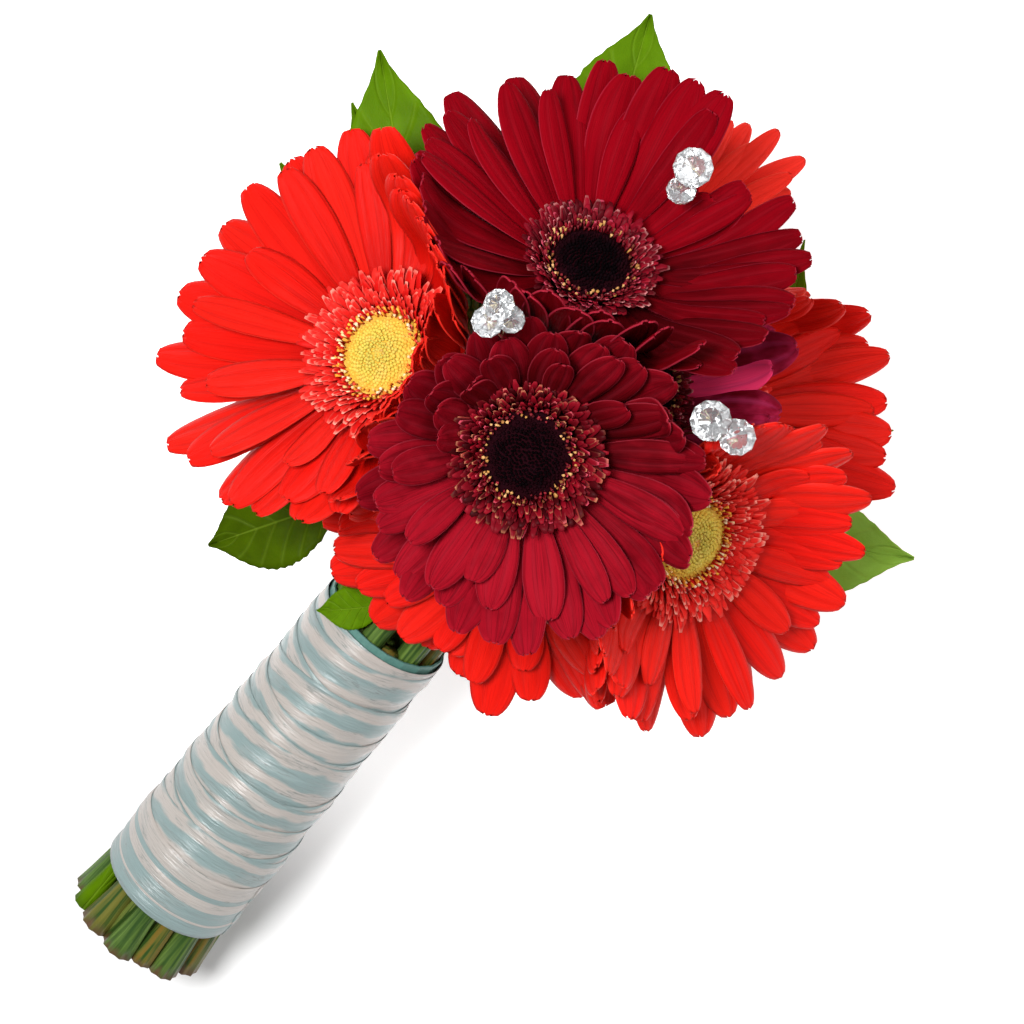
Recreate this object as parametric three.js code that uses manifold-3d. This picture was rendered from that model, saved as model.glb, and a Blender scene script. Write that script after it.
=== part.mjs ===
// A hand-tied bouquet of gerberas, lying on its back blooms and on the cut ends of its stems.
// Millimetres. +X runs along the bouquet from the cut ends to the head, +Y to its left, +Z up.
// The origin is on the surface it lies on, under the middle of the bouquet.
//
// Each bloom keeps to a cell of its own between its neighbours: a wall stands halfway between two
// blooms, and a petal that reaches a wall turns up along it, as crowded petals do.

import * as THREE from 'three';
import { mergeVertices } from 'three/addons/utils/BufferGeometryUtils.js';
import Module from 'manifold-3d';

const wasm = await Module();
wasm.setup();

// ---- driving dimensions ----

const middle = { x: 147, y: -0.35 };          // the bouquet's middle, which becomes the origin

const bundle = {
  lean: 25,                                // degrees that the handle rises toward the head
  start: [-6.1, -0.9, 19.75],              // its axis at the cut ends
  tie: 140,                                // where the stems are bound, along the axis
  flare: 1.2,                              // how much wider the stems stand at the cut ends
  ring: 15.3,                              // from the axis to the outer ring of flower stems
  core: 4.95,                              // from the axis to the three stems at the heart
};

const stem = { radius: 4, sides: 6, steps: 9, clear: 0.45 };
const twig = { radius: 2.4, ring: 16.8, sides: 5, steps: 8, run: 0.45, arrive: 0.3 };
const tape = { from: 126, to: 141, inner: 19.75, thick: 0.6, around: 20 };
const ribbon = {
  from: 17.5,
  to: 139,
  inner: 20.85,                            // the radius inside it, at the top
  flare: 1.08,                             // how much wider it is at the bottom
  thick: 0.8,                              // of one turn, and of each step between turns
  step: 0.6,
  turn: 14,                                // along the axis from one turn to the next
  around: 18,
  rows: 14,
};

// The base that the petals grow from, the ruff of small inner florets, the disc and the green calyx, by
// radii and by heights above the bloom's centre.
const base = { radius: 14, floor: -3.3, top: -0.3 };
const ruff = { foot: 12.4, tip: 16.9, low: -1, high: 8, half: 2.2, thick: 1.3, each: 5 };
const disc = { radius: 11.4, edge: 0.8, dome: 3.2, relief: 0.9, room: 0.4, rows: 3, sides: [8, 12] };
const calyx = { rim: 11.5, collar: 4.6, top: -3.65, bottom: -14, sides: 8 };

const petal = {
  root: 12,                                // from the bloom's axis
  low: -2.2,                               // the height of the lowest layer's roots
  layer: { lift: 0.9, rise: 7, shorter: 0.07 },
  widths: [15, 13.5],                      // in blooms of one and of two layers
  vary: { turn: 0.06, length: 0.035, width: 0.06 },
  thick: 0.9,
  gap: 0.7,                                // between the petals of two blooms
  press: 0.5,                              // how far they press onto the surface below
  seedLift: 12,                            // the walls stand halfway between points this far above
  near: 125,                               // blooms farther apart than this share no wall
  stations: [0, 0.4, 0.86],
};

// How a petal's line is found: its steps, the angles tried at each, how far it looks ahead and with what
// weight, and what it costs to stray from the wanted angle and to bend.
const search = { steps: 18, from: -80, to: 100, by: 4, look: 6, ahead: 0.6, stray: 6, bend: 22 };

const leafShape = {
  thick: 0.9,
  outline: [[0, 0.1], [0.14, 0.42], [0.36, 0.94], [0.62, 0.98], [0.77, 0.72], [0.88, 0.34]],
};

// A crystal's profile in shares of its radius, and its wire: what it leaves below the crystal, and the
// room that the petals leave round it.
const gem = { profile: [[0, -0.86], [0.96, -0.06], [1, 0.06], [0.58, 0.4], [0, 0.4]], sides: 8, room: 1 };
const wire = { radius: 0.5, gap: 0.3, foot: 1.6, room: 0.6, sides: 4, steps: 3 };

const green = { stem: 0x6f8a2c, leaf: 0x5f8a14, tape: 0x6fa39a };
const red = { petal: 0xdc2010, disc: 0xe6c52e };
const orange = { petal: 0xe23a14, disc: 0xe6c52e };
const burgundy = { petal: 0x6a0618, disc: 0x1a0508 };
const crimson = { petal: 0x8a0c22, disc: 0x200a14 };
const magenta = { petal: 0x8e0a34, disc: 0x200a14 };

// Where each bloom's centre lies, the way it faces, its radius, the rise of its petals in degrees, the
// petals in a layer and the layers, its seat in the bundle (angle from the top toward the left, or a
// place in the heart), and how far its stem runs straight on and comes straight in. A stem that winds
// between its neighbours has its two turning points instead, along, left of and above the axis.
const blooms = [
  { name: 'front', at: [184.7, -1.8, 178], facing: [-0.154, -0.128, 0.98], reach: 56, rise: [34, 26],
    count: 13, layers: 2, colours: burgundy, heart: 0, turns: [[212, 3, -3], [224, 4.5, 12]] },
  { name: 'top', at: [237.5, 18.8, 158], facing: [0.55, 0.17, 0.82], reach: 61, rise: [22, 14],
    count: 12, layers: 2, colours: crimson, seat: 32, turns: [[192, 13, 12], [222, 15, -2]] },
  { name: 'left', at: [180.7, 48.1, 150], facing: [-0.1, 0.5, 0.86], reach: 68, rise: [12, 7],
    count: 12, layers: 2, colours: red, seat: 81.4, turns: [[168, 18, 2], [211, 26, 8]] },
  { name: 'right', at: [196.2, -52.7, 148], facing: [0.12, -0.68, 0.72], reach: 60, rise: [12, 7],
    count: 12, layers: 2, colours: red, seat: 310.4, run: 50, arrive: 42 },
  { name: 'side', at: [229.4, -33.8, 100], facing: [0.45, -0.45, 0.77], reach: 62, rise: [12, 8],
    count: 11, layers: 2, colours: red, seat: 278.2, run: 50, arrive: 30 },
  { name: 'between', at: [221.8, -13.7, 132], facing: [0.5, -0.35, 0.79], reach: 56, rise: [26, 18],
    count: 10, layers: 2, colours: magenta, heart: 240, turns: [[165, -5, -3], [218, -5, -11]] },
  { name: 'tip', at: [263.6, 7.3, 100], facing: [0.78, -0.22, 0.58], reach: 51, rise: [14, 9],
    count: 10, layers: 2, colours: orange, heart: 120, run: 55, arrive: 45 },
  { name: 'low', at: [161.3, -15.2, 138], facing: [-0.57, -0.1, 0.815], reach: 57, rise: [9, 4],
    count: 11, layers: 2, colours: red, seat: 0, run: 36, arrive: 20, walls: [[0.906, 0, 0.42, 217]] },
  { name: 'under_left', at: [211, 50, 42.9], facing: [0.4, 0.7, -0.59], reach: 52, rise: [14, 8],
    count: 10, layers: 1, colours: red, seat: 130.6, run: 42, arrive: 26 },
  { name: 'under_right', at: [218, -48, 40.6], facing: [0.4, -0.6, -0.69], reach: 52, rise: [14, 8],
    count: 10, layers: 1, colours: orange, seat: 229, run: 42, arrive: 24 },
  { name: 'under', at: [220, 3, 24.6], facing: [0.3, 0.05, -0.95], reach: 50, rise: [14, 8],
    count: 10, layers: 1, colours: red, seat: 179.8, run: 40, arrive: 22 },
];

// The leafy sprigs: the seat of each twig, its end, its turning points where it winds, and its leaves,
// each with the share of the twig's bent stretch at its foot, its tip, the side that its face looks to,
// its width and how far its middle bows to that side.
const sprigs = [
  { name: 'left', seat: 106, end: [200, 48, 112], leaves: [
    { foot: 0.97, tip: [249.2, 107.1, 118], facing: [-0.3, -0.2, 0.93], width: 35, bow: 5 },
    { foot: 0.9, tip: [233, 104.5, 106], facing: [-0.3, 0, 0.9], width: 24, bow: 3 },
    { foot: 0.8, tip: [206.4, 110.8, 92], facing: [-0.3, 0.3, 0.9], width: 30, bow: 5 }] },
  { name: 'low_left', seat: 56.8, end: [142, 33, 90], turns: [[150, 15.6, 10.4], [157, 27, 11]], leaves: [
    { foot: 0.96, tip: [103.8, 55.4, 76], facing: [-0.3, 0.2, 0.93], width: 28, bow: 4 },
    { foot: 0.45, tip: [110.3, 17.4, 93], facing: [-0.6, 0.2, 0.8], width: 15, bow: 2 }] },
  { name: 'head', inner: [9.7, 62], end: [250, 28, 108], leaves: [
    { foot: 0.97, tip: [309.3, 53.8, 103], facing: [-0.1, -0.1, 1], width: 36, bow: 4 }] },
  { name: 'right', seat: 253.6, end: [244, -62, 78], turns: [[164, -20, -5.8], [205, -58, -22]], leaves: [
    { foot: 0.66, tip: [237.2, -111.5, 72], facing: [0.1, -0.3, 0.95], width: 33, bow: 4 },
    { foot: 0.97, tip: [290.1, -24.1, 76], facing: [0.2, -0.1, 0.95], width: 18, bow: 3 },
    { foot: 0.9, tip: [261.2, -79.6, 74], facing: [0.2, -0.3, 0.95], width: 12, bow: 2 },
    { foot: 0.4, tip: [168.6, -53.1, 106], facing: [-0.2, -0.2, 0.95], width: 22, bow: 3 }] },
  { name: 'under_left', seat: 155.2, end: [176, 32, 30], leaves: [
    { foot: 0.95, tip: [168, 92, 34], facing: [0, 0.1, -1], width: 30, bow: 4 }] },
  { name: 'under_right', seat: 204.4, end: [176, -24, 26], leaves: [
    { foot: 0.95, tip: [180, -86, 26], facing: [0, -0.1, -1], width: 30, bow: 4 }] },
];

// The crystals, each by the middle of its girdle and its diameter, and the foot of the wire of each pick.
const picks = [
  { name: 'top', foot: [262, 12, 122], gems: [[277.2, 14, 157, 11.2], [270.6, 12.6, 152, 8.4]] },
  { name: 'left', foot: [206, 24, 162], gems: [[210.4, 29.3, 210.5, 8.5], [205, 29, 207, 8.5],
    [209.7, 24.6, 204, 7.5]] },
  { name: 'right', foot: [216, -30, 144], gems: [[224.2, -34.8, 182, 11.4], [225.6, -43.3, 178, 10.2]] },
];

// ---- vectors and solids ----

const vec = (x, y, z) => new THREE.Vector3(x, y, z);
const along = (from, direction, length) => from.clone().addScaledVector(direction, length);
const rad = THREE.MathUtils.degToRad;

/** A point of the bouquet, from its place along the handle's axis, to the left of it and above it. */
function inBundle(u, v, w) {
  const lean = rad(bundle.lean);
  const place = vec(u * Math.cos(lean) - w * Math.sin(lean), v, u * Math.sin(lean) + w * Math.cos(lean));
  return place.add(vec(...bundle.start));
}

function solidOf(geometry) {
  const bare = geometry.clone();
  for (const name of Object.keys(bare.attributes)) {
    if (name !== 'position') bare.deleteAttribute(name);
  }
  const merged = mergeVertices(bare, 1e-4);
  const triangles = [];
  for (let i = 0; i < merged.index.count; i += 3) {
    const corners = [0, 1, 2].map((k) => merged.index.getX(i + k));
    if (new Set(corners).size === 3) triangles.push(...corners);
  }
  return new wasm.Manifold(new wasm.Mesh({
    numProp: 3,
    vertProperties: merged.attributes.position.array,
    triVerts: Uint32Array.from(triangles),
  }));
}

function geometryOf(solid) {
  const { vertProperties, triVerts } = solid.getMesh();
  const geometry = new THREE.BufferGeometry();
  geometry.setAttribute('position', new THREE.BufferAttribute(vertProperties, 3));
  geometry.setIndex(new THREE.BufferAttribute(triVerts, 1));
  geometry.computeVertexNormals();
  return geometry;
}

const joined = (solids) => wasm.Manifold.union(solids);

function largest(solid) {
  return solid.decompose().sort((a, b) => b.volume() - a.volume())[0];
}

function moved(solid, matrix) {
  return solid.transform(matrix.elements);
}

// ---- tubes: stems, twigs and wires ----

function circle(radius, sides) {
  const corners = [];
  for (let i = 0; i < sides; i += 1) {
    const angle = (i / sides) * 2 * Math.PI;
    corners.push(new THREE.Vector2(radius * Math.cos(angle), radius * Math.sin(angle)));
  }
  return new THREE.Shape(corners);
}

function tube(path, radius, sides, steps) {
  const options = { steps, extrudePath: path, curveSegments: 1 };
  return solidOf(new THREE.ExtrudeGeometry(circle(radius, sides), options));
}

/** A geometry from its corners, with the triangles between them unless every three corners are one. */
function facesOf(corners, index = null) {
  const geometry = new THREE.BufferGeometry();
  const numbers = corners.flatMap((corner) => corner.toArray());
  geometry.setAttribute('position', new THREE.Float32BufferAttribute(numbers, 3));
  return solidOf(geometry.setIndex(index));
}

/** A stem's line: one straight stretch through the binding, then a bend that is stepped evenly. */
class StemCurve extends THREE.Curve {
  constructor(cut, bend, steps) {
    super();
    Object.assign(this, { cut, bend, straight: 1 / steps });
  }

  getPoint(t) {
    if (t <= this.straight) return this.cut.clone().lerp(this.bend.v0, t / this.straight);
    return this.bend.getPointAt(Math.min((t - this.straight) / (1 - this.straight), 1));
  }

  getUtoTmapping(u) {
    return u;
  }
}

/** The line from a seat in the bundle to an end, which it reaches along a direction. */
function stemPath(seat, end, direction, piece, steps) {
  const [v, w] = [seat.radius * Math.sin(rad(seat.angle)), seat.radius * Math.cos(rad(seat.angle))];
  const cut = inBundle(0, v * bundle.flare, w * bundle.flare);
  const tie = inBundle(bundle.tie, v, w);
  const onward = tie.clone().sub(cut).normalize();
  const turns = piece.turns?.map((place) => inBundle(...place))
    ?? [along(tie, onward, piece.run), along(end, direction, -piece.arrive)];
  return new StemCurve(cut, new THREE.CubicBezierCurve3(tie, ...turns, end), steps);
}

// ---- blooms ----

for (const bloom of blooms) {
  bloom.centre = vec(...bloom.at);
  bloom.normal = vec(...bloom.facing).normalize();
  bloom.seed = along(bloom.centre, bloom.normal, petal.seedLift);
  bloom.turn = new THREE.Quaternion().setFromUnitVectors(vec(0, 0, 1), bloom.normal);
  bloom.frame = new THREE.Matrix4().compose(bloom.centre, bloom.turn, vec(1, 1, 1));
  bloom.inverse = bloom.frame.clone().invert();
  const inHeart = bloom.seat === undefined;
  const seat = { radius: inHeart ? bundle.core : bundle.ring, angle: inHeart ? bloom.heart : bloom.seat };
  const neck = along(bloom.centre, bloom.normal, calyx.bottom + 1);
  bloom.path = stemPath(seat, neck, bloom.normal, bloom, stem.steps);
}

/** The walls of a bloom's cell, in its own frame: its petals stay on the side away from each normal. */
function wallsOf(bloom) {
  const planes = [new THREE.Plane(vec(0, 0, -1), 0)];
  for (const other of blooms) {
    if (other === bloom || other.centre.distanceTo(bloom.centre) > petal.near) continue;
    const normal = other.seed.clone().sub(bloom.seed).normalize();
    const halfway = other.seed.clone().add(bloom.seed).multiplyScalar(0.5);
    planes.push(new THREE.Plane(normal, petal.gap / 2 - normal.dot(halfway)));
  }
  for (const [x, y, z, limit] of bloom.walls ?? []) {
    planes.push(new THREE.Plane(vec(x, y, z).normalize(), -limit));
  }
  return planes.map((plane) => plane.applyMatrix4(bloom.inverse));
}

/** How far a petal's middle and both its edges reach past the walls, squared and summed. */
function trespass(walls, point, side, halfWidth) {
  let sum = 0;
  walls.forEach((wall, i) => {
    const spare = i === 0 ? -petal.press : petal.thick;
    for (const edge of [-1, 0, 1]) {
      const past = wall.distanceToPoint(along(point, side, edge * halfWidth)) + spare;
      if (past > 0) sum += past * past;
    }
  });
  return sum;
}

/** The line of one petal, in the upright plane through its azimuth, turned up or down before each wall. */
function petalLine(walls, azimuth, length, rise, height, width) {
  const outward = vec(Math.cos(azimuth), Math.sin(azimuth), 0);
  const side = vec(-Math.sin(azimuth), Math.cos(azimuth), 0);
  const heading = (angle) => vec(0, 0, Math.sin(angle)).addScaledVector(outward, Math.cos(angle));
  const step = length / search.steps;
  const line = [{ point: outward.clone().multiplyScalar(petal.root).setZ(height), angle: rad(rise[0]) }];
  for (let i = 0; i < search.steps; i += 1) {
    const last = line[i];
    const wanted = rad(rise[0] + (rise[1] - rise[0]) * (i / search.steps));
    const half = width * petalWidth((i + 1) / search.steps);
    let best = null;
    for (let degrees = search.from; degrees <= search.to; degrees += search.by) {
      const angle = rad(degrees);
      const turned = heading(angle);
      const past = trespass(walls, along(last.point, turned, step), side, half)
        + search.ahead * trespass(walls, along(last.point, turned, step + search.look), side, half);
      const bend = search.bend * (angle - last.angle) ** 2;
      const cost = past + bend + search.stray * (angle - wanted) ** 2;
      if (best === null || cost < best.cost) best = { cost, angle };
    }
    const point = along(last.point, heading(best.angle), step);
    line.push({ point, angle: best.angle });
  }
  return { line, outward, side };
}

/** Half a petal's width as a share of its full width, from its root (0) to its rounded tip (1). */
function petalWidth(t) {
  const body = 0.17 + 0.36 * Math.sin(Math.min(t / 0.75, 1) * Math.PI / 2);
  const tip = t > 0.8 ? Math.sqrt(Math.max(0, 1 - ((t - 0.8) / 0.2) ** 2)) : 1;
  return body * tip;
}

/** A blade through stations, each a point, its side and down directions and a section along these two. */
function blade(stations, tip) {
  const sides = stations[0].section.length;
  const corners = stations.flatMap(({ point, side, down, section }) => section.map(([across, below]) =>
    point.clone().addScaledVector(side, across).addScaledVector(down, below)));
  const index = [];
  for (let k = 1; k < sides - 1; k += 1) index.push(0, k, k + 1);
  for (let i = 0; i < stations.length; i += 1) {
    for (let k = 0; k < sides; k += 1) {
      const [a, b] = [sides * i + k, sides * i + ((k + 1) % sides)];
      if (i === stations.length - 1) index.push(a, corners.length, b);
      else index.push(a, a + sides, b, b, a + sides, b + sides);
    }
  }
  return facesOf([...corners, tip], index);
}

/** A flat upper face and a keel below it. */
const keeled = (half, thick) => [[-half, 0], [half, 0], [0, thick]];

function petalSolid(walls, azimuth, length, rise, height, width) {
  const { line, outward, side } = petalLine(walls, azimuth, length, rise, height, width);
  const stations = petal.stations.map((t) => {
    const { point, angle } = line[Math.round(t * search.steps)];
    const down = vec(0, 0, -Math.cos(angle)).addScaledVector(outward, Math.sin(angle));
    return { point, side, down, section: keeled(width * petalWidth(t), petal.thick) };
  });
  return blade(stations, line[search.steps].point);
}

function ruffSolid(azimuth) {
  const outward = vec(Math.cos(azimuth), Math.sin(azimuth), 0);
  const side = vec(-Math.sin(azimuth), Math.cos(azimuth), 0);
  const foot = outward.clone().multiplyScalar(ruff.foot).setZ(ruff.low);
  const tip = outward.clone().multiplyScalar(ruff.tip).setZ(ruff.high);
  return blade([{ point: foot, side, down: outward, section: keeled(ruff.half, ruff.thick) }], tip);
}

function lathe(profile, segments) {
  const points = profile.map(([radius, height]) => new THREE.Vector2(radius, height));
  return solidOf(new THREE.LatheGeometry(points, segments).rotateX(Math.PI / 2));
}

function raysSolid(bloom, obstacles) {
  const walls = wallsOf(bloom);
  const solids = [lathe([[0, base.floor], [base.radius, base.floor], [base.radius, base.top],
    [0, base.top]], bloom.count)];
  for (let layer = 0; layer < bloom.layers; layer += 1) {
    const rise = bloom.rise.map((angle) => angle + petal.layer.rise * layer);
    const height = petal.low + petal.layer.lift * layer;
    for (let i = 0; i < bloom.count; i += 1) {
      const place = i + (layer + 1) / 2 + petal.vary.turn * Math.sin(5 * i + 3 * layer);
      const share = 1 - petal.layer.shorter * layer + petal.vary.length * Math.sin(7 * i + layer);
      const width = petal.widths[bloom.layers - 1] * (1 + petal.vary.width * Math.sin(3 * i));
      const azimuth = (place / bloom.count) * 2 * Math.PI;
      solids.push(petalSolid(walls, azimuth, (bloom.reach - petal.root) * share, rise, height, width));
    }
  }
  const florets = bloom.layers * ruff.each;
  for (let i = 0; i < florets; i += 1) solids.push(ruffSolid((i / florets) * 2 * Math.PI));
  let solid = joined(solids);
  for (const wall of walls) solid = solid.subtract(beyond(wall));
  const room = disc.radius + disc.room;
  const discRoom = lathe([[0, base.top], [room, base.top], [room, 3], [0, 6]], bloom.count);
  return largest(solid.subtract(discRoom).subtract(obstacles));
}

/** Everything past a wall, as a box that lies against it. */
function beyond(wall) {
  const size = { across: 400, deep: 100 };
  const turn = new THREE.Quaternion().setFromUnitVectors(vec(0, 0, 1), wall.normal);
  const face = wall.normal.clone().multiplyScalar(-wall.constant + size.deep / 2);
  const box = new THREE.BoxGeometry(size.across, size.across, size.deep).applyQuaternion(turn);
  return solidOf(box.translate(...face.toArray()));
}

/** The centre florets: a dome that is raised at every other place of each row, as the florets are. */
function discSolid(bloom) {
  const around = disc.sides[bloom.layers - 1];
  const profile = [new THREE.Vector2(0, 0), new THREE.Vector2(disc.radius, 0)];
  for (let row = disc.rows; row >= 0; row -= 1) {
    const angle = (row / disc.rows) * Math.PI / 2;
    const radius = row ? disc.radius * Math.sin(angle) : 0;
    profile.push(new THREE.Vector2(radius, disc.edge + disc.dome * Math.cos(angle)));
  }
  const geometry = new THREE.LatheGeometry(profile, around);
  const positions = geometry.attributes.position;
  for (let i = 0; i <= around; i += 1) {
    for (let j = 3; j < profile.length - 1; j += 1) {
      const index = i * profile.length + j;
      if (((i % around) + j) % 2 === 0) positions.setY(index, positions.getY(index) + disc.relief);
    }
  }
  return solidOf(geometry.rotateX(Math.PI / 2));
}

function stemSolid(bloom) {
  const { collar, rim, top, bottom } = calyx;
  const cup = lathe([[0, bottom], [collar, bottom], [rim, top], [0, top]], calyx.sides);
  return joined([tube(bloom.path, stem.radius, stem.sides, stem.steps), moved(cup, bloom.frame)]);
}

// ---- sprigs ----

for (const sprig of sprigs) {
  const [radius, angle] = sprig.inner ?? [twig.ring, sprig.seat];
  const end = vec(...sprig.end);
  const way = vec(...sprig.leaves[0].tip).sub(end).normalize();
  const reach = end.distanceTo(inBundle(bundle.tie, 0, 0));
  const piece = { run: reach * twig.run, arrive: reach * twig.arrive, ...sprig };
  sprig.path = stemPath({ radius, angle }, end, way, piece, twig.steps);
}

/** A leaf of a sprig; with something to spare on every side, it is the room that the leaf takes. */
function leafSolid(sprig, leaf, spare) {
  const [foot, tip] = [sprig.path.bend.getPointAt(leaf.foot), vec(...leaf.tip)];
  const forward = tip.clone().sub(foot).normalize();
  const side = vec(...leaf.facing).cross(forward).normalize();
  const up = forward.clone().cross(side);
  const bowed = along(foot.clone().lerp(tip, 0.5), up, 2 * leaf.bow);
  const line = new THREE.QuadraticBezierCurve3(foot, bowed, tip);
  const down = up.clone().negate();
  const stations = leafShape.outline.map(([t, share]) => {
    const half = (leaf.width / 2) * share;
    const wide = half + spare;
    const keel = [0, leafShape.thick + spare];
    const room = [[-wide, -spare], [wide, -spare], [wide, spare], keel, [-wide, spare]];
    return { point: line.getPoint(t), side, down, section: spare ? room : keeled(half, leafShape.thick) };
  });
  return blade(stations, along(tip, forward, spare));
}

function sprigSolid(sprig, spare = 0) {
  return joined([tube(sprig.path, twig.radius + spare, twig.sides, twig.steps),
    ...sprig.leaves.map((leaf) => leafSolid(sprig, leaf, spare))]);
}

// ---- ribbon and tape ----

/** The wound ribbon: a sleeve whose outer face steps from turn to turn. */
function ribbonSolid() {
  const { from, to, inner, thick, step, turn, around, rows } = ribbon;
  const wide = (u) => inner * (1 + (ribbon.flare - 1) * (1 - (u - from) / (to - from)));
  const point = (row, i, out) => {
    const u = from + ((to - from) * row) / rows;
    const angle = (i / around) * 2 * Math.PI;
    const phase = (u / turn + i / around) % 1;
    const radius = wide(u) + (out ? thick + step * phase : 0);
    return inBundle(u, radius * Math.sin(angle), radius * Math.cos(angle));
  };
  const corners = [];
  const quad = (a, b, c, d) => corners.push(a, c, b, a, d, c);
  for (let i = 0; i < around; i += 1) {
    for (let row = 0; row < rows; row += 1) {
      const next = row + 1;
      quad(point(row, i, true), point(row, i + 1, true), point(next, i + 1, true), point(next, i, true));
    }
    quad(point(rows, i, false), point(rows, i + 1, false), point(0, i + 1, false), point(0, i, false));
    quad(point(0, i, false), point(0, i + 1, false), point(0, i + 1, true), point(0, i, true));
    quad(point(rows, i, true), point(rows, i + 1, true), point(rows, i + 1, false), point(rows, i, false));
  }
  return facesOf(corners);
}

function sleeveGeometry(inner, outer, length, segments) {
  const profile = [[inner, 0], [outer, 0], [outer, length], [inner, length], [inner, 0]];
  return new THREE.LatheGeometry(profile.map((p) => new THREE.Vector2(...p)), segments);
}

// ---- crystals ----

/** A round brilliant: table, crown, girdle and pavilion in flat facets. */
function gemGeometry(diameter) {
  const profile = gem.profile.map((place) => new THREE.Vector2(...place).multiplyScalar(diameter / 2));
  return new THREE.LatheGeometry(profile, gem.sides).rotateX(Math.PI / 2);
}

function gemPlaces(pick) {
  return pick.gems.map(([x, y, z, diameter]) => ({ centre: vec(x, y, z), diameter }));
}

/** The wires of a pick: one foot, and a branch to the point of each crystal, with room to spare or none. */
function wireSolid(pick, room = 0) {
  const foot = vec(...pick.foot);
  const branches = gemPlaces(pick).map(({ centre, diameter }) => {
    const point = centre.z + gem.profile[0][1] * (diameter / 2);
    const head = centre.clone().setZ(point - wire.gap + room);
    const bowed = foot.clone().lerp(head, 0.5).setX(foot.x + 0.8 * (head.x - foot.x));
    const path = new THREE.QuadraticBezierCurve3(foot, bowed, head);
    return tube(path, wire.radius + room, wire.sides, wire.steps);
  });
  const block = new THREE.BoxGeometry(wire.foot, wire.foot, wire.foot).translate(...foot.toArray());
  return joined([...branches, solidOf(block)]);
}

// ---- the bouquet ----

const bouquet = new THREE.Group();
bouquet.position.set(-middle.x, -middle.y, 0);

function addPiece(name, geometry, color, roughness, metalness = 0) {
  const material = new THREE.MeshStandardMaterial({ color, roughness, metalness });
  const mesh = new THREE.Mesh(geometry, material);
  mesh.name = name;
  bouquet.add(mesh);
  return mesh;
}

/** What the rays of a bloom must stay clear of: the stems of the others, the sprigs and the picks. */
function obstaclesOf(bloom) {
  const others = blooms.filter((other) => other !== bloom);
  const solids = others.map(({ path }) => tube(path, stem.radius + stem.clear, stem.sides, stem.steps));
  solids.push(...sprigs.map((sprig) => sprigSolid(sprig, stem.clear)));
  for (const pick of picks) {
    solids.push(wireSolid(pick, wire.room));
    for (const { centre, diameter } of gemPlaces(pick)) {
      solids.push(solidOf(gemGeometry(diameter + gem.room).translate(...centre.toArray())));
    }
  }
  return joined(solids);
}

for (const bloom of blooms) {
  const { name, colours } = bloom;
  const rays = raysSolid(bloom, moved(obstaclesOf(bloom), bloom.inverse));
  const raysMesh = addPiece(`bloom_${name}_rays`, geometryOf(rays), colours.petal, 0.6);
  const discMesh = addPiece(`bloom_${name}_disc`, geometryOf(discSolid(bloom)), colours.disc, 0.8);
  for (const mesh of [raysMesh, discMesh]) {
    mesh.position.copy(bloom.centre);
    mesh.quaternion.copy(bloom.turn);
  }
  addPiece(`bloom_${name}_stem`, geometryOf(stemSolid(bloom)), green.stem, 0.55);
}

for (const sprig of sprigs) {
  addPiece(`sprig_${sprig.name}`, geometryOf(sprigSolid(sprig)), green.leaf, 0.5);
}

const tapeSleeve = sleeveGeometry(tape.inner, tape.inner + tape.thick, tape.to - tape.from, tape.around);
const tapeMesh = addPiece('binding_tape', tapeSleeve, green.tape, 0.6);
tapeMesh.position.copy(inBundle(tape.from, 0, 0));
tapeMesh.rotation.z = -Math.PI / 2;
const tapeLean = new THREE.Quaternion().setFromAxisAngle(vec(0, 1, 0), -rad(bundle.lean));
tapeMesh.quaternion.premultiply(tapeLean);

addPiece('ribbon', geometryOf(ribbonSolid()), 0xa9c4c2, 0.35);

for (const pick of picks) {
  addPiece(`pick_${pick.name}_wire`, geometryOf(wireSolid(pick)), 0xb9a56a, 0.3, 1);
  gemPlaces(pick).forEach(({ centre, diameter }, i) => {
    const crystal = geometryOf(solidOf(gemGeometry(diameter)));
    addPiece(`pick_${pick.name}_crystal_${i + 1}`, crystal, 0xf2f4f6, 0.05).position.copy(centre);
  });
}

export default bouquet;
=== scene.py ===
import math
import random

import bmesh
import bpy
import numpy as np
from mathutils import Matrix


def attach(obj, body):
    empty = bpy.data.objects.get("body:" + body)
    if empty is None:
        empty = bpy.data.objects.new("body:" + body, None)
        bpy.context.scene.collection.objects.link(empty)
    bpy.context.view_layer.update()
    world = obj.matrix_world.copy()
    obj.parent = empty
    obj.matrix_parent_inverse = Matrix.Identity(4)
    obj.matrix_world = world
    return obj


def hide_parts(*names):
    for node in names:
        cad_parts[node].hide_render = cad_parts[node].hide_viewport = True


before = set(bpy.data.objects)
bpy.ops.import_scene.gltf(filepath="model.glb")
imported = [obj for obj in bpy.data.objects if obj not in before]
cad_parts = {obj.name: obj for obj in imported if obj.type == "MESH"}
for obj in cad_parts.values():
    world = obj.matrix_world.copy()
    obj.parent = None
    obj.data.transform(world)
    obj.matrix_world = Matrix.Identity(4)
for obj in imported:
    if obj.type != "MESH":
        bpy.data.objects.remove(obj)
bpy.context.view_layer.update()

# Sizes below are in millimetres, in the frame that the solids were drawn in. Only the finished meshes
# are in metres, with the bouquet's middle at the origin.
middle = np.array([147.0, -0.35, 0.0])
zUp = np.array([0.0, 0.0, 1.0])

# ---- camera ----

cameraSettings = {
    "over": (23.0, -8.35),      # the point of the floor right below the camera
    "height": 1210.0,
    "turn": -50.3,              # degrees about the vertical
    "lens": 131.5,
}


def makeCamera():
    data = bpy.data.cameras.new("camera")
    data.lens = cameraSettings["lens"]
    data.sensor_width = 36
    camera = bpy.data.objects.new("camera", data)
    camera.location = [n * 0.001 for n in (*cameraSettings["over"], cameraSettings["height"])]
    camera.rotation_euler = (0, 0, math.radians(cameraSettings["turn"]))
    bpy.context.scene.collection.objects.link(camera)
    bpy.context.scene.camera = camera


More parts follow.
